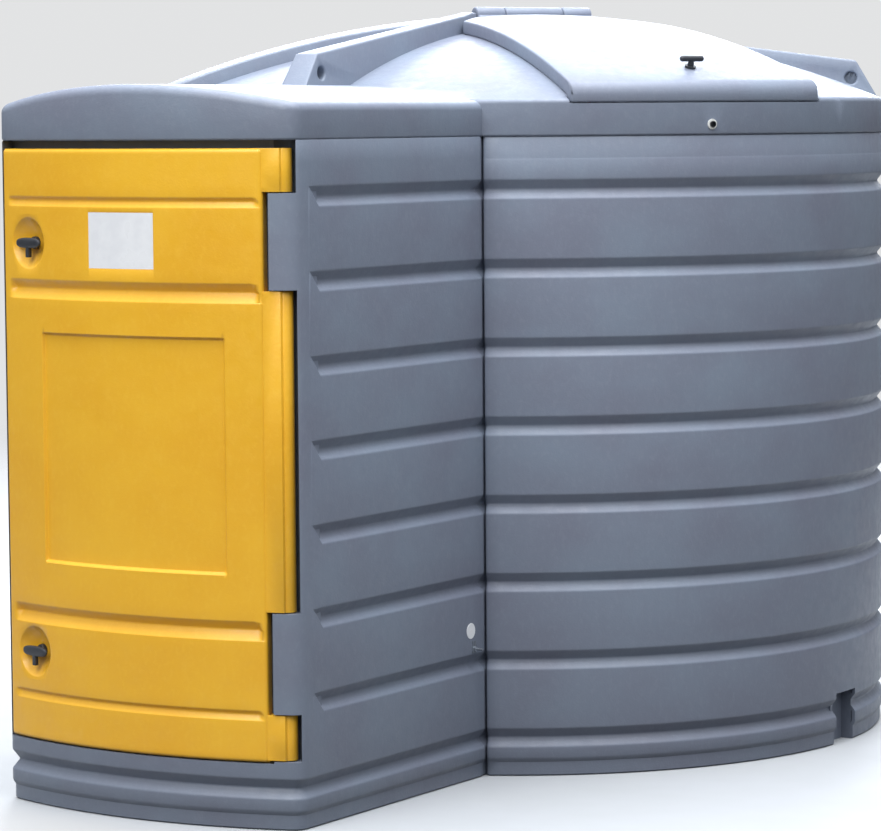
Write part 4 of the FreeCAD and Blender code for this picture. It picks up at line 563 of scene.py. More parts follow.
def combine(shape: Shape, others: list[Shape], how: str) -> None:
    """Joins shapes to an object or cuts them from it, and deletes them.

    Args:
        shape: Object that is changed.
        others: Closed shapes to join or cut.
        how: UNION or DIFFERENCE.
    """
    for other in others:
        tidy(other)
        step = shape.modifiers.new("combine", "BOOLEAN")
        step.operation, step.object, step.solver = how, other, "MANIFOLD"
        settle(shape)
        bpy.data.objects.remove(other)


def settle(shape: Shape) -> None:
    """Turns an object's modifiers into its plain mesh.

    Args:
        shape: Object to settle.
    """
    graph = bpy.context.evaluated_depsgraph_get()
    made = bpy.data.meshes.new_from_object(shape.evaluated_get(graph))
    shape.modifiers.clear()
    shape.data = made


def soften(shape: Shape, width: float, rounds: int = 3, angle: float = 35.0) -> None:
    """Rounds the sharp edges of a closed shape.

    Args:
        shape: Object to round.
        width: Width of the rounding.
        rounds: Faces across it.
        angle: Edges that turn less than this many degrees stay.
    """
    tidy(shape)
    step = shape.modifiers.new("soften", "BEVEL")
    step.width, step.segments, step.limit_method = width, rounds, "ANGLE"
    step.angle_limit, step.use_clamp_overlap, step.harden_normals = math.radians(angle), True, False
    settle(shape)


def cylinder(name: str, foot: Vector, along: Vector, profile: list[Pair], sides: int = 48) -> Shape:
    """Makes a turned shape about a line.

    Args:
        name: The object's name.
        foot: Point on the line where lengths are counted from.
        along: Direction of the line.
        profile: Pairs of (length along the line, radius), from one end to the other.
        sides: Faces round it.

    Returns:
        The closed shape, with no finish.
    """
    turn = along.to_track_quat("Z", "Y")
    points = []
    for length, radius in profile:
        for i in range(sides):
            a = 2 * math.pi * i / sides
            points.append(foot + turn @ Vector((radius * math.cos(a), radius * math.sin(a), length)))
    return mesh_object(name, points, tube_faces(len(profile), sides), None)


@dataclass(frozen=True)
class Hinge:
    """The door's hinge axis, and places beside it."""

    x: float = 0.415
    y: float = -1.390371
    turn: float = 19.0508
    inset: float = 0.032

    def at(self, t: float, n: float) -> Pair:
        """Gives the plan place that lies t along the front and n behind its surface."""
        a, back = math.radians(self.turn), n - self.inset
        return (self.x + t * math.cos(a) - back * math.sin(a), self.y + t * math.sin(a) + back * math.cos(a))

    def arc(self, radius: float, start: float, end: float, steps: int) -> list[Pair]:
        """Gives points round the axis, with angles counted from straight out of the front."""
        places = []
        for i in range(steps + 1):
            a = math.radians(start + (end - start) * i / steps)
            places.append(self.at(radius * math.sin(a), self.inset - radius * math.cos(a)))
        return places


@dataclass(frozen=True)
class Bow:
    """The front's bowed face."""

    radius: float = 1.303493
    centre_y: float = -0.188507

    def y(self, x: float, depth: float) -> float:
        """Gives the place of the bowed face at a width and a depth behind it."""
        return self.centre_y - math.sqrt((self.radius - depth) ** 2 - x ** 2)

    def arc(self, low: float, high: float, depth: float, steps: int = 24) -> list[Pair]:
        """Gives plan points along the bow from one width to another."""
        widths = [low + (high - low) * i / steps for i in range(steps + 1)]
        return [(x, self.y(x, depth)) for x in widths]

    def facing(self, x: float, z: float) -> tuple[Vector, Vector]:
        """Gives the bow's point at a width and a height, and the direction straight out of it there."""
        lean = math.asin(x / self.radius)
        out = Vector((math.sin(lean), -math.cos(lean), 0))
        return Vector((0, self.centre_y, z)) + out * self.radius, out


def apart(values: Iterable[float], gap: float) -> list[float]:
    """Sorts values and leaves out those that lie less than a gap above the one before."""
    kept: list[float] = []
    for value in sorted(values):
        if not kept or value - kept[-1] > gap:
            kept.append(value)
    return kept


def rounded(corners: list[Pair], radii: list[float], steps: int) -> list[Pair]:
    """Rounds the inner corners of an open line of corners.

    Args:
        corners: Corners in order; the first and the last only give directions.
        radii: One radius for each inner corner.
        steps: Faces round each corner.

    Returns:
        Points of the rounded corners, in order.
    """
    section = []
    for before, at, after, radius in zip(corners, corners[1:], corners[2:], radii):
        a, b, c = Vector(before), Vector(at), Vector(after)
        into, out = (b - a).normalized(), (c - b).normalized()
        turn = into.angle(out)
        start, side = b - into * radius * math.tan(turn / 2), (out - into * into.dot(out)).normalized()
        for i in range(steps + 1):
            step = turn * i / steps
            p = start + into * radius * math.sin(step) + side * radius * (1 - math.cos(step))
            section.append((p.x, p.y))
    return section


@dataclass(frozen=True)
class PlanPoint:
    """A point of the tank's plan, its outward direction, and its shares of the grooves and of the draft."""

    x: float
    y: float
    nx: float
    ny: float
    groove: float
    draft: float = 0.0


@dataclass(frozen=True)
class OuterTank:
    """Outer tank: one grooved moulding with the door's seat, the equipment bay and a neck."""

    radius: float = 1.065
    centre_y: float = 0.427
    cabinet_half: float = 0.463
    corner_radius: float = 0.045
    corner_y: float = -1.407
    seam_z: float = 1.710
    groove_top_z: float = 1.570
    groove_pitch: float = 0.2095
    groove_count: int = 8
    groove_depth: float = 0.020
    groove_up: float = 0.026
    groove_down: float = 0.024
    groove_start: float = 0.055
    groove_taper: float = 0.045
    groove_run: float = 0.03
    lip_radius: float = 0.011
    bottom_radius: float = 0.006
    wall: float = 0.010
    neck_inset: float = 0.009
    neck_wall: float = 0.008
    neck_top_z: float = 1.780
    step_z: float = 1.650
    foot_z: float = 0.044
    foot_inset: float = 0.007
    bay_x: Pair = (-0.405, 0.350)
    bay_z: Pair = (0.235, 1.640)
    bay_back: float = -0.667
    mouth_x: Pair = (-0.372, 0.335)
    mouth_z: Pair = (0.262, 1.612)
    pocket_left: float = -0.449
    pocket_z: Pair = (0.167, 1.710)
    pocket_depth: float = 0.045
    room_z: tuple[Pair, ...] = ((0.172, 0.291), (0.542, 1.342), (1.580, 1.710))
    room_radius: float = 0.031
    channel_half: float = 0.060
    channel_depth: float = 0.045
    channel_top: float = 0.145
    channel_past: float = 0.01
    channel_short: float = 0.015
    pipe_x: float = -0.255
    pipe_y: float = -0.895
    pipe_hole: float = 0.021
    pipe_reach: Pair = (-0.02, 0.04)
    overlap: float = 0.0005
    # Places beside the hinge: t runs along the front, n lies behind its surface, and proud is before it
    proud: float = -0.05
    column_t: Pair = (-0.042, 0.03)
    column_n: float = 0.02
    column_side_y: Pair = (-1.36, -1.304)
    seat_t: float = -0.032
    room_t: Pair = (-0.0331, 0.037)
    room_n: Pair = (-0.09, 0.032)
    mouth_depth: float = 0.03
    bow_steps: int = 12
    corner_steps: int = 6
    taper_steps: int = 8
    side_steps: int = 15
    round_steps: int = 85
    round_start: float = 0.0085
    draft_drop: float = 0.0035
    hinge: Hinge = Hinge()
    bow: Bow = Bow()

    def groove_profile(self) -> list[Pair]:
        """Gives a groove's rounded section from its upper lip to its lower lip, as (height, depth)."""
        corners = [(self.groove_up + self.groove_run, 0.0), (self.groove_up, 0.0), (0.0, self.groove_depth),
                   (-self.groove_down, 0.0), (-self.groove_down - self.groove_run, 0.0)]
        return rounded(corners, [self.lip_radius, self.bottom_radius, self.lip_radius], 4)

    def half_plan(self) -> list[PlanPoint]:
        """Gives the plan from the middle of the front round the right side to the middle of the back."""
        plan = []
        front = self.bow.radius
        inner = front - self.corner_radius
        cx = self.cabinet_half - self.corner_radius
        bow_end = math.asin(cx / inner)
        cy = self.bow.centre_y - inner * math.cos(bow_end)
        for i in range(self.bow_steps + 1):
            a = bow_end * i / self.bow_steps
            nx, ny = math.sin(a), -math.cos(a)
            plan.append(PlanPoint(front * nx, self.bow.centre_y + front * ny, nx, ny, 0.0))
        for i in range(1, self.corner_steps + 1):
            a = bow_end + (math.pi / 2 - bow_end) * i / self.corner_steps
            nx, ny = math.sin(a), -math.cos(a)
            plan.append(PlanPoint(cx + self.corner_radius * nx, cy + self.corner_radius * ny, nx, ny, 0.0))
        tip, full = self.corner_y + self.groove_start, self.corner_y + self.groove_start + self.groove_taper
        meet = self.centre_y - math.sqrt(self.radius ** 2 - self.cabinet_half ** 2)
        side = self.cabinet_half
        plan.append(PlanPoint(side, tip - 0.004, 1, 0, 0.0))
        last = self.taper_steps
        plan += [PlanPoint(side, tip + (full - tip) * i / last, 1, 0, max(i / last, 0.01))
                 for i in range(last + 1)]
        run = meet - 0.012
        plan += [PlanPoint(side, full + (run - full) * i / self.side_steps, 1, 0, 1.0)
                 for i in range(1, self.side_steps + 1)]
        # The sharp crease where the cabinet's flat side meets the round body
        nx, ny = side / self.radius, (meet - self.centre_y) / self.radius
        plan += [PlanPoint(side - 0.0015, meet - 0.006, 0.97, 0.24, 1.0),
                 PlanPoint(side - 0.006, meet + 0.002, 1, 0, 1.0),
                 PlanPoint(side - 0.010, meet + 0.0173, 0.5, -0.866, 1.0),
                 PlanPoint(side + 0.001, meet + 0.0045, nx, ny, 1.0, 1.0)]
        start = math.atan2(ny, nx) + self.round_start
        for i in range(self.round_steps + 1):
            a = start + (math.pi / 2 - start) * i / self.round_steps
            nx, ny = math.cos(a), math.sin(a)
            plan.append(PlanPoint(self.radius * nx, self.centre_y + self.radius * ny, nx, ny, 1.0, 1.0))
        return plan

    def column(self, spot: PlanPoint) -> list[Pair]:
        """Gives the (height, depth) of every row at one point of the plan, from the floor to the seam."""
        # A plinth that is set back, with a chamfer at the floor and a soft ledge over it
        foot, inset = self.foot_z, self.foot_inset
        rows = [(0.0, inset + 0.004), (0.004, inset), (foot - 0.006, inset), (foot - 0.002, inset * 0.6),
                (foot + 0.004, 0.001), (foot + 0.008, 0.0)]
        section = self.groove_profile()[::-1]
        for k in range(self.groove_count - 1, -1, -1):
            z = self.groove_top_z - self.groove_pitch * k
            share = 1.0 if k == self.groove_count - 1 else spot.groove
            for dz, depth in section:
                place = z + self.groove_up - (self.groove_up - dz) * share if share > 0.0 else z + dz
                rows.append((place, depth * share))
        # A faint step under the seam, and the draft that narrows the round body towards its top
        step, drop = self.step_z, self.draft_drop * spot.draft
        return rows + [(step - 0.003, 0.0), (step, 0.001 * spot.draft), (step + 0.003, 0.0015 * spot.draft),
                       (self.seam_z - 0.004, drop), (self.seam_z, drop + 0.002)]

    def shell(self) -> Shape:
        """Makes the hollow grooved shell with its neck.

        Returns:
            The closed shell.
        """
        half = self.half_plan()
        plan = half + [PlanPoint(-p.x, p.y, -p.nx, p.ny, p.groove, p.draft) for p in reversed(half[1:-1])]
        columns = []
        for spot in plan:
            outer = self.column(spot)
            neck_in = self.neck_inset + self.neck_wall
            neck = [(self.seam_z, self.neck_inset), (self.neck_top_z, self.neck_inset),
                    (self.neck_top_z, neck_in), (self.seam_z - self.wall, neck_in)]
            inner = [(z, depth + self.wall) for z, depth in reversed(outer[2:-5]) if z < self.step_z]
            columns.append(outer + neck + inner + [(self.wall, self.foot_inset + self.wall)])
        rows = len(columns[0])
        points = [Vector((p.x - p.nx * column[r][1], p.y - p.ny * column[r][1], column[r][0]))
                  for r in range(rows) for p, column in zip(plan, columns)]
        return mesh_object("outer_tank_moulding", points, tube_faces(rows, len(plan)), Surface.GREY_MOULDING)

    def front_frame(self) -> list[Shape]:
        """Makes the solid frame behind the front's skin, the hinge column and the walls of the bay."""
        w, at = self.wall, self.hinge.at
        low, high = self.pocket_z[0] - w, self.seam_z + w
        skin, count = w - self.overlap, self.bow_steps + 1 + self.corner_steps
        side = self.cabinet_half - skin
        half = [(p.x - p.nx * skin, p.y - p.ny * skin) for p in self.half_plan()[:count]]
        front = [(-x, y) for x, y in reversed(half[1:])] + half
        frame = prism("front_frame", self.bow.arc(side, -side, self.pocket_depth + w) + front, low, high)
        right = side - self.overlap
        near, far = self.column_t
        column = prism("hinge_column", [at(near, self.column_n), at(far, self.column_n),
                                        *((right, y) for y in self.column_side_y),
                                        at(near, self.room_radius + self.hinge.inset + w)],
                       low + 0.0003, high - 0.0003)
        x0, x1 = self.bay_x[0] - w, self.bay_x[1] + w
        walls = prism("bay_walls", [(x1, self.bay_back + w), (x0, self.bay_back + w)]
                      + self.bow.arc(x0, x1, self.mouth_depth), self.bay_z[0] - w, self.bay_z[1] + w)
        return [frame, column, walls]

    def front_cuts(self) -> list[Shape]:
        """Makes the cutters for the door's seat, the knuckles' rooms and the bay."""
        at, bow, depth, left = self.hinge.at, self.bow, self.pocket_depth, self.pocket_left
        edge = [at(self.seat_t, self.proud), at(self.seat_t, depth)]
        seat = [(left, bow.y(left, depth)), (left, bow.y(left, self.proud))]
        outer = bow.arc(left, edge[0][0], self.proud)[1:-1]
        inner = bow.arc(edge[1][0], left, depth)[1:-1]
        cuts = [prism("door_seat", seat + outer + edge + inner, *self.pocket_z)]
        turn = 90 + math.degrees(math.asin((depth - self.hinge.inset) / self.room_radius))
        near, far = self.room_t
        plan = [at(near, self.room_n[0]), at(far, self.room_n[0]), at(far, self.room_n[1])]
        plan += self.hinge.arc(self.room_radius, 90, 360 - turn, 20) + [at(near, depth)]
        cuts += [prism("knuckle_room", plan, low, high) for low, high in self.room_z]
        bay = [(self.bay_x[1], self.bay_back), (self.bay_x[0], self.bay_back)]
        cuts.append(prism("bay", bay + bow.arc(*self.bay_x, depth + self.wall), *self.bay_z))
        mouth = [(self.mouth_x[1], self.bay_back - 0.1), (self.mouth_x[0], self.bay_back - 0.1)]
        cuts.append(prism("bay_mouth", mouth + bow.arc(*self.mouth_x, self.mouth_depth), *self.mouth_z))
        top = Vector((self.pipe_x, self.pipe_y, self.bay_z[1]))
        cuts.append(cylinder("pipe_hole", top, UPWARDS, [(end, self.pipe_hole) for end in self.pipe_reach]))
        return cuts

    def channels(self, grow: float, low: float) -> list[Shape]:
        """Makes the upright channels in the base, or the walls round them.

        Args:
            grow: How much larger than the channel on each side.
            low: Height where they start.

        Returns:
            One block for each side.
        """
        near = self.radius - self.channel_depth - grow
        far = self.radius - self.channel_short if grow else self.radius + self.channel_past
        half, high = self.channel_half + grow, self.channel_top + grow
        return [block("base_channel", (min(s * near, s * far), self.centre_y - half, low),
                      (max(s * near, s * far), self.centre_y + half, high)) for s in (-1, 1)]

    def build(self) -> Shape:
        """Makes the whole moulding and gives it the CAD node's place.

        Returns:
            The finished piece.
        """
        shape = self.shell()
        tidy(shape)
        combine(shape, self.front_frame() + self.channels(self.wall, 0.001), "UNION")
        combine(shape, self.front_cuts() + self.channels(0.0, -0.01), "DIFFERENCE")
        tidy(shape, flip=False)
        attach(shape, "root")
        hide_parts("outer_tank")
        return shape


@dataclass(frozen=True)
class Door:
    """Yellow door: a bowed double-skinned moulding with soft grooves, a sunk field, dishes and knuckles."""

    left: float = -0.445
    right: float = 0.3810
    right_lean: float = 0.3264
    low: float = 0.170
    high: float = 1.690
    depth: float = 0.042
    edge_radius: float = 0.010
    grooves: tuple[Quad, ...] = (
        (1.560, 0.009, 0.016, 0.009), (1.336, 0.022, 0.027, 0.018),
        (0.500, 0.022, 0.027, 0.018), (0.290, 0.009, 0.016, 0.009))
    groove_x: Pair = (-0.424, 0.372)
    groove_tip: float = 0.024
    field_x: Pair = (-0.290, 0.283)
    field_z: Pair = (0.634, 1.225)
    field_depth: float = 0.008
    field_slope: float = 0.008
    label_x: Pair = (-0.115, 0.089)
    label_z: Pair = (1.390, 1.532)
    label_depth: float = 0.0005
    film_slope: float = 0.0008
    film_gap: float = 0.0009
    film_depth: Pair = (0.0001, 0.0009)
    film_grid: tuple[int, int] = (12, 16)
    knob_x: float = -0.340
    knob_z: Pair = (1.450, 0.399)
    dish_radius: float = 0.0675
    dish_depth: float = 0.030
    dish_rim: float = 0.003
    dish_steps: int = 14
    lip_radius: float = 0.006
    lip_steps: int = 6
    hub_radius: float = 0.017
    hub_gap: float = 0.001
    spindle_hole: float = 0.00605
    spindle_reach: Pair = (-0.08, 0.01)
    knuckle_z: tuple[Pair, ...] = ((0.175, 0.288), (0.545, 1.339), (1.583, 1.690))
    knuckle_radius: float = 0.021
    knuckle_round: float = 0.0035
    # Web of a knuckle: t runs along the front from the hinge, n lies behind its surface
    web_t: Pair = (-0.058, -0.004)
    web_n: Triple = (0.0045, 0.0042, 0.0415)
    rod_hole: float = 0.00505
    groove_radii: tuple[float, ...] = (0.007, 0.006, 0.007)
    groove_run: float = 0.02
    groove_end: float = 0.030
    groove_slant: float = 0.012
    groove_room: float = 0.014
    row_step: float = 0.015
    column_count: int = 60
    finest: float = 0.00015
    hinge: Hinge = Hinge()
    bow: Bow = Bow()

    def place(self, width: float, z: float, depth: float) -> Vector:
        """Gives a point of the door from its width on the face, its height and its depth behind the bow."""
        across = (width - self.left) / (self.right - self.left)
        x = self.left + (self.right - self.right_lean * depth - self.left) * across
        return Vector((x, self.bow.y(x, depth), z))

    @staticmethod
    def ease(value: float) -> float:
        """Gives a smooth step from zero to one."""
        value = min(max(value, 0.0), 1.0)
        return value * value * (3 - 2 * value)

    def within(self, value: float, span: Pair, slope: float) -> float:
        """Gives one inside a span and zero outside, with a smooth slope at each end."""
        return self.ease((value - span[0]) / slope) * self.ease((span[1] - value) / slope)

    def patch(self, x: float, z: float, across: Pair, up: Pair, slope: float) -> float:
        """Gives one inside a rectangle of the face and zero outside, with smooth slopes."""
        return self.within(x, across, slope) * self.within(z, up, slope)

    def rounding(self, x: float, z: float) -> float:
        """Gives how deep the rounded border lies at a place of the front."""
        r = self.edge_radius
        near = max(0.0, r - min(x - self.left, self.right - x))
        reach = min(math.hypot(near, max(0.0, r - min(z - self.low, self.high - z))), r)
        return r - math.sqrt(max(0.0, r * r - reach * reach))

    def groove_share(self, x: float, z_share: float) -> float:
        """Gives how deep a groove is at a width: pointed on the left, cut off slantwise on the right."""
        left = (x - self.groove_x[0]) / self.groove_tip
        right = (self.groove_x[1] - self.groove_slant * z_share - x) / (self.groove_tip * 0.6)
        return self.ease(min(left, right))

    def turns(self, ends: Pair, field_span: Pair, label_span: Pair) -> set[float]:
        """Gives the places along the width or the height where the face turns.

        Args:
            ends: The door's two borders.
            field_span: Where the sunk field lies.
            label_span: Where the label lies.

        Returns:
            Places of the grid's columns or rows.
        """
        corner = [self.edge_radius * (1 - math.cos(math.radians(a))) for a in range(15, 91, 15)]
        marks = {*ends, *(ends[0] + step for step in corner), *(ends[1] - step for step in corner)}
        for span, slope in ((field_span, self.field_slope), (label_span, self.film_slope)):
            marks |= {span[0] + slope * i / 4 for i in range(5)} | {span[1] - slope * i / 4 for i in range(5)}
        return marks

    def columns(self) -> list[float]:
        """Gives the widths of the grid's columns, closer where the face turns."""
        marks = self.turns((self.left, self.right), self.field_x, self.label_x)
        marks |= {self.groove_x[0] + self.groove_tip * i / 6 for i in range(7)}
        marks |= {self.groove_x[1] - self.groove_end + self.groove_end * i / 8 for i in range(9)}
        count = self.column_count
        marks |= {self.left + (self.right - self.left) * i / count for i in range(1, count)}
        return apart(marks, self.finest)

    def rows(self) -> list[tuple[float, float, int]]:
        """Gives each row's height, its depth in a groove and which groove it is in, or -1."""
        plain = self.turns((self.low, self.high), self.field_z, self.label_z)
        z = self.low + self.groove_run
        while z < self.high - self.row_step:
            if all(abs(z - g[0]) > g[2] + self.groove_room for g in self.grooves):
                plain.add(z)
            z += self.row_step
        marks = dict.fromkeys(plain, (0.0, -1))
        run = self.groove_run
        for k, (z, up, down, deep) in enumerate(self.grooves):
            corners = [(up + run, 0.0), (up, 0.0), (0.0, deep), (-down, 0.0), (-down - run, 0.0)]
            for dz, depth in rounded(corners, list(self.groove_radii), 4):
                marks[z + dz] = (depth, k)
        return [(z, *marks[z]) for z in apart(marks, self.finest)]

    def panel(self) -> Shape:
        """Makes the closed panel from its front grid, its rim and its back."""
        xs, rows = self.columns(), self.rows()
        points = []
        for z, deep, k in rows:
            for x in xs:
                depth = self.rounding(x, z)
                if k >= 0:
                    depth += deep * self.groove_share(x, (z - self.grooves[k][0]) / self.groove_run)
                depth += (self.field_depth * self.patch(x, z, self.field_x, self.field_z, self.field_slope)
                          + self.label_depth * self.patch(x, z, self.label_x, self.label_z, self.film_slope))
                points.append(self.place(x, z, depth))
        points += [self.place(x, z, self.depth) for z, _, _ in rows for x in xs]
        faces = slab_faces(len(rows), len(xs))
        return mesh_object("yellow_door", points, faces, Surface.YELLOW_MOULDING)

    def knuckles(self) -> list[Shape]:
        """Makes the three knuckles with the webs that join them to the panel."""
        (start, end), (front, front_end, back) = self.web_t, self.web_n
        plan = [self.hinge.at(start, front), self.hinge.at(end, front_end)]
        plan += self.hinge.arc(self.knuckle_radius, 0, 250, 30) + [self.hinge.at(start, back)]
        made = [prism("knuckle", plan, low, high) for low, high in self.knuckle_z]
        for knuckle in made:
            soften(knuckle, self.knuckle_round, rounds=2, angle=60)
        return made

    def dish(self, z: float) -> list[Shape]:
        """Makes the cutters for one dish and its handle's spindle.

        Args:
            z: Height of the dish's middle.

        Returns:
            Dish and spindle cutters.
        """
        centre, out = self.bow.facing(self.knob_x, z)
        ball = (self.dish_radius ** 2 + self.dish_depth ** 2) / (2 * self.dish_depth)
        steps = [(-self.dish_depth, self.hub_radius)]
        reach = math.asin((self.dish_radius - self.dish_rim) / ball)
        start = math.asin((self.hub_radius + self.hub_gap) / ball)
        for i in range(self.dish_steps + 1):
            a = start + (reach - start) * i / self.dish_steps
            steps.append((ball * (1 - math.cos(a)) - self.dish_depth, ball * math.sin(a)))
        last = steps[-1]
        for i in range(1, self.lip_steps + 1):
            a = reach * (1 - i / self.lip_steps)
            steps.append((last[0] + self.lip_radius * (math.cos(a) - math.cos(reach)),
                          last[1] + self.lip_radius * (math.sin(reach) - math.sin(a))))
        steps.append((steps[-1][0] + 0.01, steps[-1][1] + 0.03))
        hole = [(end, self.spindle_hole) for end in self.spindle_reach]
        return [cylinder("dish", centre, out, steps, sides=72),
                cylinder("spindle_hole", centre, out, hole, sides=32)]

    def label(self) -> Shape:
        """Makes the bare white film that lies flush in the door's face."""
        rows, columns = self.film_grid
        wide = self.label_x[1] - self.label_x[0] - 2 * self.film_gap
        high = self.label_z[1] - self.label_z[0] - 2 * self.film_gap
        points = []
        for depth in self.film_depth:
            for r in range(rows + 1):
                z = self.label_z[0] + self.film_gap + high * r / rows
                points += [self.place(self.label_x[0] + self.film_gap + wide * c / columns, z, depth)
                           for c in range(columns + 1)]
        faces = slab_faces(rows + 1, columns + 1)
        film = mesh_object("blank_door_label", points, faces, Surface.WHITE_FILM)
        tidy(film)
        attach(film, "door_leaf")
        return film

    def build(self) -> Shape:
        """Makes the door and gives it the CAD node's place.

        Returns:
            The finished door.
        """
        shape = self.panel()
        tidy(shape)
        combine(shape, self.knuckles(), "UNION")
        bore = [(self.low - 0.01, self.rod_hole), (self.high + 0.01, self.rod_hole)]
        cuts = [cylinder("rod_hole", Vector((self.hinge.x, self.hinge.y, 0)), UPWARDS, bore, sides=32)]
        combine(shape, cuts + [cut for z in self.knob_z for cut in self.dish(z)], "DIFFERENCE")
        tidy(shape, flip=False)
        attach(shape, "door_leaf")
        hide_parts("door")
        self.label()
        return shape


@dataclass(frozen=True)
class Softened:
    """A packed moulding whose sharp outer edges are rounded, except beside the pieces that go through it."""

    node: str
    width: float
    through: str
    room: float = 0.03
    material_slot: str = "tank_plastic"
    rounds: int = 3
    flat: float = math.radians(0.05)
    turn: float = math.radians(40)
    deepest: float = 0.33

    def build(self, frame: dict[str, Any]) -> Shape:
        """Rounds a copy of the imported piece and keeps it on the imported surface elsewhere.

        Args:
            frame: The loaded frame.

        Returns:
            The finished piece.
        """
        source = frame["nodes"][self.node]
        shape = add_object(f"{self.node}_soft", source.data.copy())
        work = bmesh.new()
        work.from_mesh(shape.data)
        bmesh.ops.remove_doubles(work, verts=work.verts, dist=MERGE_DISTANCE)
        bmesh.ops.dissolve_limit(work, angle_limit=self.flat, verts=work.verts, edges=work.edges)
        surface = BVHTree.FromBMesh(work)
        beside = frame["nodes"][self.through].data
        corners = [v.co for v in beside.vertices]
        guest = BVHTree.FromPolygons(corners, [list(f.vertices) for f in beside.polygons])
        weight = work.edges.layers.float.new("bevel_weight_edge")
        for edge in work.edges:
            if edge.is_convex and edge.calc_face_angle() > self.turn:
                middle = (edge.verts[0].co + edge.verts[1].co) / 2
                if guest.find_nearest(middle)[3] > self.room:
                    edge[weight] = 1.0
        work.to_mesh(shape.data)
        work.free()
        step = shape.modifiers.new("soften", "BEVEL")
        step.width, step.segments, step.limit_method = self.width, self.rounds, "WEIGHT"
        step.use_clamp_overlap = False
        settle(shape)
        for vertex in shape.data.vertices:
            near, normal, _, distance = surface.find_nearest(vertex.co)
            if distance > self.deepest * self.width or (vertex.co - near).dot(normal) > MERGE_DISTANCE:
                vertex.co = near
        tidy(shape, flip=False)
        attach(shape, source["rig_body"])
        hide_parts(self.node)
        return shape


@dataclass(frozen=True)
class Grip:
    """Handle in one of the door's dishes: a thick grip on a round hub, with a key tab under it."""

    node: str
    x: float
    z: float
    half: float = 0.049
    thick: float = 0.007
    tall: float = 0.0135
    tip: float = 0.010
    out: float = -0.002
    least: float = 0.0006
    end_power: int = 7
    side_power: float = 0.7
    tab_half: float = 0.0065
    tab_reach: float = 0.037
    tab_round: float = 0.0025
    tab_z: Pair = (-0.008, 0.004)
    hub: tuple[Pair, ...] = (
        (-0.0620, 0.006), (-0.0297, 0.006), (-0.0297, 0.0155), (-0.0290, 0.016), (-0.0195, 0.016),
        (-0.0180, 0.0145), (-0.0175, 0.0115), (-0.006, 0.0085), (-0.002, 0.0085))
    bow: Bow = Bow()

    def bar(self, steps: int = 18, ring: int = 28) -> Shape:
        """Makes the grip, which narrows to its rounded ends."""
        points = []
        for i in range(steps + 1):
            share = math.sin(math.pi * (i / steps - 0.5))
            scale = max(1 - abs(share) ** self.end_power, 0.0) ** 0.5
            tall = max((self.tall - (self.tall - self.tip) * share * share) * scale, self.least)
            thick = max(self.thick * scale, self.least)
            for k in range(ring):
                c, d = math.cos(2 * math.pi * k / ring), math.sin(2 * math.pi * k / ring)
                up = math.copysign(abs(c) ** self.side_power, c)
                forward = math.copysign(abs(d) ** self.side_power, d)
                points.append(Vector((self.half * share, tall * up, self.out + thick * forward)))
        return mesh_object(f"{self.node}_grip", points, tube_faces(steps + 1, ring), Surface.BLACK_NYLON)

    def build(self) -> Shape:
        """Makes the handle and gives it the CAD node's place.

        Returns:
            The finished handle.
        """
        shape = self.bar()
        tidy(shape)
        hub = cylinder("hub", Vector((0, 0, 0)), UPWARDS, list(self.hub), sides=40)
        low, high = (-self.tab_half, -self.tab_reach, self.tab_z[0]), (self.tab_half, 0.0, self.tab_z[1])
        tab = block("key_tab", low, high)
        soften(tab, self.tab_round, angle=60)
        combine(shape, [hub, tab], "UNION")
        centre, out = self.bow.facing(self.x, self.z)
        turn = Matrix(((-out.y, out.x, 0), UPWARDS, out)).transposed().to_4x4()
        shape.data.transform(Matrix.Translation(centre) @ turn)
        tidy(shape)
        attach(shape, "upper_latch" if self.node.startswith("upper") else "lower_latch")
        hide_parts(self.node)
        return shape


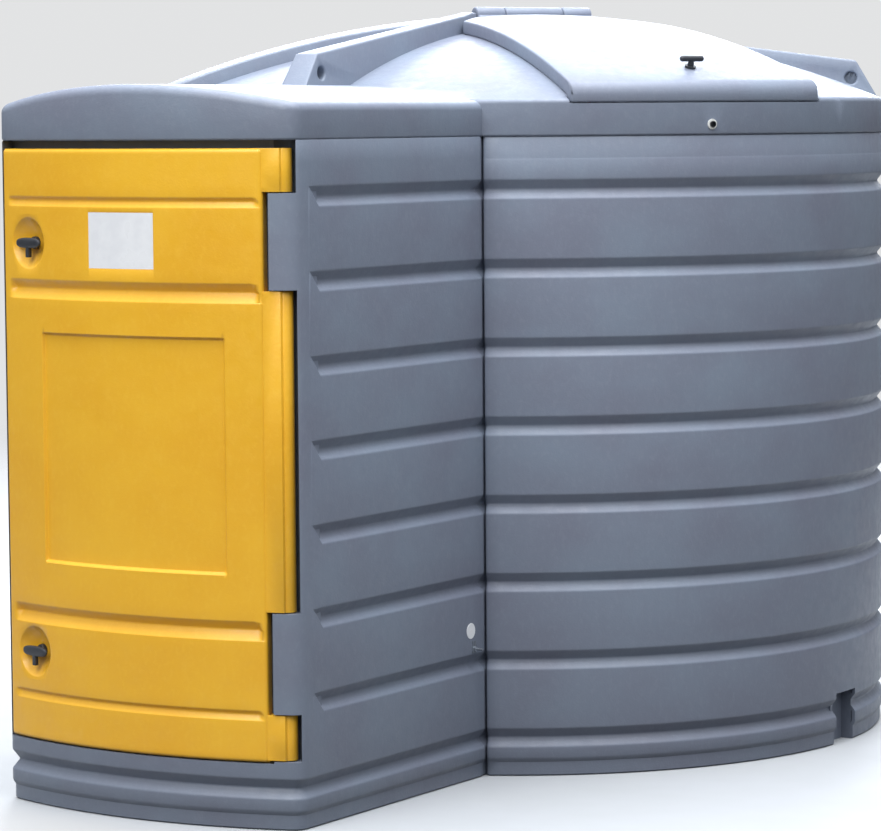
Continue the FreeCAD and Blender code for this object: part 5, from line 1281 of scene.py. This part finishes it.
@dataclass(frozen=True)
class BoltRing:
    """Ring of hexagon bolts with washers, made by a node tree with named values."""

    node: str = "manhole_bolts"
    centre: Triple = (0.467654, 0.157, 1.732)
    start: float = -30.0
    turn_step: float = 0.61
    # Sides, radius, height, how many heights its middle is raised, and what it stands on
    solids: tuple[tuple[int, str, str, float, str | None], ...] = (
        (40, "Washer Radius", "Washer Height", 0.5, None),
        (6, "Head Radius", "Head Height", 0.5, "Washer Height"),
        (24, "Shank Radius", "Shank Length", -0.5, None))
    values: tuple[tuple[str, float], ...] = (
        ("Count", 12), ("Ring Radius", 0.200), ("Head Radius", 0.00924), ("Head Height", 0.007),
        ("Washer Radius", 0.011), ("Washer Height", 0.002), ("Shank Radius", 0.005), ("Shank Length", 0.042))

    def tree(self) -> Tree:
        """Builds the node tree: one bolt, set on every point of a ring and made real.

        Returns:
            The node tree.
        """
        tree = bpy.data.node_groups.new("bolt_ring", "GeometryNodeTree")
        tree.interface.new_socket(name="Geometry", in_out="OUTPUT", socket_type="NodeSocketGeometry")
        for name, _ in self.values:
            kind = "NodeSocketInt" if name == "Count" else "NodeSocketFloat"
            tree.interface.new_socket(name=name, in_out="INPUT", socket_type=kind)
        given = add(tree, "NodeGroupInput").outputs
        joined = add(tree, "GeometryNodeJoinGeometry")
        for sides, radius, height, share, foot in self.solids:
            solid = add(tree, "GeometryNodeMeshCylinder", {"Vertices": sides, "Radius": given[radius],
                                                           "Depth": given[height]})
            start = given[foot] if foot else 0.0
            rise = add(tree, "ShaderNodeMath", {0: given[height], 1: share, 2: start},
                       operation="MULTIPLY_ADD")
            place = add(tree, "ShaderNodeCombineXYZ", {"Z": rise.outputs[0]})
            moved = add(tree, "GeometryNodeTransform", {"Geometry": solid.outputs["Mesh"],
                                                        "Translation": place.outputs[0]})
            tree.links.new(moved.outputs["Geometry"], joined.inputs[0])
        ring = add(tree, "GeometryNodeMeshCircle", {"Vertices": given["Count"],
                                                    "Radius": given["Ring Radius"]})
        index = add(tree, "GeometryNodeInputIndex").outputs[0]
        turn = add(tree, "ShaderNodeMath", {0: index, 1: self.turn_step}, operation="MULTIPLY").outputs[0]
        euler = add(tree, "ShaderNodeCombineXYZ", {"Z": turn}).outputs[0]
        spin = add(tree, "FunctionNodeEulerToRotation", {0: euler}).outputs[0]
        bolts = add(tree, "GeometryNodeInstanceOnPoints", {"Points": ring.outputs["Mesh"],
                                                           "Instance": joined.outputs[0], "Rotation": spin})
        real = add(tree, "GeometryNodeRealizeInstances", {"Geometry": bolts.outputs["Instances"]})
        dressed = add(tree, "GeometryNodeSetMaterial", {"Geometry": real.outputs["Geometry"],
                                                        "Material": Surface.ZINC.material()})
        add(tree, "NodeGroupOutput", {"Geometry": dressed.outputs["Geometry"]})
        return tree

    def build(self, frame: dict[str, Any]) -> Shape:
        """Makes the bolts and gives them the CAD node's place.

        Args:
            frame: The loaded frame.

        Returns:
            The finished bolts.
        """
        shape = mesh_object("manhole_bolt_ring", [], [], None)
        step = shape.modifiers.new("bolt_ring", "NODES")
        step.node_group = self.tree()
        values = dict(self.values)
        for item in step.node_group.interface.items_tree:
            if item.in_out == "INPUT":
                step[item.identifier] = values[item.name]
        settle(shape)
        place = Matrix.Translation(self.centre) @ Matrix.Rotation(math.radians(self.start), 4, "Z")
        shape.data.transform(place)
        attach(shape, frame["nodes"][self.node]["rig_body"])
        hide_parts(self.node)
        return shape


@dataclass(frozen=True)
class EarthDisc:
    """White disc with an earthing mark over the earth stud, on the cabinet's side."""

    x: float = 0.463
    y: float = -0.607
    z: float = 0.402
    radius: float = 0.021
    sunk: float = 0.0005
    proud: float = 0.0007
    soft: float = 0.0003
    mark_sunk: float = 0.0001
    mark_proud: float = 0.0002
    bars: tuple[Quad, ...] = (
        (-0.0008, 0.0008, 0.0, 0.012), (-0.009, 0.009, -0.0014, 0.0), (-0.006, 0.006, -0.0056, -0.0042),
        (-0.003, 0.003, -0.0098, -0.0084))

    def build(self) -> list[Shape]:
        """Makes the disc and its raised mark.

        Returns:
            The disc and the mark.
        """
        rim = [(-self.sunk, self.radius), (self.proud - self.soft, self.radius),
               (self.proud, self.radius - self.soft)]
        disc = cylinder("earth_disc", Vector((self.x, self.y, self.z)), Vector((1, 0, 0)), rim, sides=56)
        disc.data.materials.append(Surface.WHITE_FILM.material())
        low, high = self.x + self.proud - self.mark_sunk, self.x + self.proud + self.mark_proud
        mark, *bars = [block("earth_mark", (low, self.y + y0, self.z + z0), (high, self.y + y1, self.z + z1))
                       for y0, y1, z0, z1 in self.bars]
        tidy(mark)
        combine(mark, bars, "UNION")
        mark.data.materials.append(Surface.BLACK_NYLON.material())
        for piece, paint in ((disc, "pale_washer"), (mark, "handle_plastic")):
            tidy(piece)
            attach(piece, "root")
        return [disc, mark]


@dataclass(frozen=True)
class Lamp:
    """Soft square light that hangs at a place and faces a point; the camera doesn't see it."""

    name: str
    place: Triple
    aim: Triple
    size: float
    power: float
    colour: str = "#FFFFFF"

    def build(self) -> None:
        """Adds the lamp to the scene."""
        data = bpy.data.lights.new(self.name, "AREA")
        data.shape, data.size, data.energy = "SQUARE", self.size, self.power
        data.color = linear(self.colour)[:3]
        aimed(self.name, data, self.place, Vector(self.aim) - Vector(self.place)).visible_camera = False


@dataclass(frozen=True)
class Studio:
    """Floor, soft light and the photograph's camera."""

    position: Triple = (5.478, -8.754, 1.767)
    azimuth: float = 32.072
    pitch: float = 4.7231
    roll: float = -0.4378
    lens: float = 148.51
    sensor: float = 36.0
    clip: Pair = (0.1, 200.0)
    sky_colour: str = "#E9EEF5"
    sky_range: Pair = (-0.05, 0.9)
    sky_low: float = 0.10
    sky_high: float = 1.5
    backdrop: float = 0.86
    backdrop_colour: str = "#F2F3F4"
    floor_half: float = 60.0
    floor_z: float = -0.0005
    lamps: tuple[Lamp, ...] = (
        Lamp("sky_panel", (0.5, -0.5, 7.5), aim=(0.0, 0.3, 0.0), size=7.0, power=950.0, colour="#F4F8FF"),
        Lamp("back_panel", (-4.0, 8.0, 5.0), aim=(0.0, 0.3, 1.9), size=6.0, power=900.0, colour="#F4F8FF"),
        Lamp("front_panel", (0.5, -8.0, 6.5), aim=(0.0, -0.5, 1.2), size=4.5, power=390.0),
        Lamp("right_panel", (5.5, -2.5, 5.5), aim=(0.9, 0.0, 1.6), size=3.0, power=60.0))

    def camera(self) -> None:
        """Sets the camera at the photograph's place."""
        data = bpy.data.cameras.new("photo_camera")
        data.sensor_width, data.lens = self.sensor, self.lens
        data.clip_start, data.clip_end = self.clip
        a, e = math.radians(self.azimuth), math.radians(self.pitch)
        ahead = Vector((-math.sin(a) * math.cos(e), math.cos(a) * math.cos(e), -math.sin(e)))
        bpy.context.scene.camera = aimed("photo_camera", data, self.position, ahead, self.roll)

    def sky(self) -> None:
        """Makes the sky: bright overhead, dim at the horizon, and an even pale backdrop for the camera."""
        world = bpy.data.worlds.new("soft_sky")
        world.use_nodes = True
        tree = world.node_tree
        tree.nodes.clear()
        place = add(tree, "ShaderNodeTexCoord")
        height = add(tree, "ShaderNodeSeparateXYZ", {0: place.outputs["Generated"]})
        rise = spread(tree, height.outputs["Z"], *self.sky_range, self.sky_low, self.sky_high)
        lit = add(tree, "ShaderNodeBackground", {"Color": linear(self.sky_colour), "Strength": rise})
        seen = add(tree, "ShaderNodeBackground", {"Color": linear(self.backdrop_colour),
                                                  "Strength": self.backdrop})
        ray = add(tree, "ShaderNodeLightPath")
        both = add(tree, "ShaderNodeMixShader", {0: ray.outputs["Is Camera Ray"], 1: lit.outputs[0],
                                                 2: seen.outputs[0]})
        add(tree, "ShaderNodeOutputWorld", {"Surface": both.outputs[0]})
        bpy.context.scene.world = world

    def build(self) -> None:
        """Makes the floor, the lights and the camera."""
        far = self.floor_half
        corners = [Vector((x * far, y * far, self.floor_z)) for x, y in ((-1, -1), (1, -1), (1, 1), (-1, 1))]
        floor = mesh_object("studio_floor", corners, [(0, 1, 2, 3)], Surface.STUDIO_FLOOR)
        floor.visible_diffuse = False
        self.sky()
        for lamp in self.lamps:
            lamp.build()
        bpy.context.scene.view_settings.view_transform = "Standard"
        self.camera()


def clear_scene() -> None:
    """Removes the start-up scene's objects."""
    for thing in list(bpy.data.objects):
        bpy.data.objects.remove(thing)


def dress_nodes(frame: dict[str, Any]) -> None:
    """Gives every CAD node its finish.

    Args:
        frame: The loaded frame.
    """
    for name, node in frame["nodes"].items():
        material = NODE_FINISH[name].material()
        node.data.materials.clear()
        node.data.materials.append(material)


def main() -> None:
    """Builds the looks in order and logs how many nodes got finishes and how many faces each new shape has.
    """
    logging.basicConfig(level=logging.INFO, format="%(message)s")
    clear_scene()
    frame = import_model()
    Studio().build()
    dress_nodes(frame)
    LOG.info("finishes: %d nodes", len(frame["nodes"]))
    door = Door()
    shapes = [OuterTank().build(), door.build()]
    shapes.append(Softened("roof_cover", width=0.006, through="roof_bolts", room=0.012).build(frame))
    shapes.append(Softened("hatch_cover", width=0.005, through="hatch_handle").build(frame))
    for node, z in zip(("upper_door_handle", "lower_door_handle"), door.knob_z):
        shapes.append(Grip(node, door.knob_x, z).build())
    shapes += [BoltRing().build(frame), *EarthDisc().build()]
    for shape in shapes:
        LOG.info("%s: %d faces", shape.name, len(shape.data.polygons))


if __name__ == "__main__":
    main()
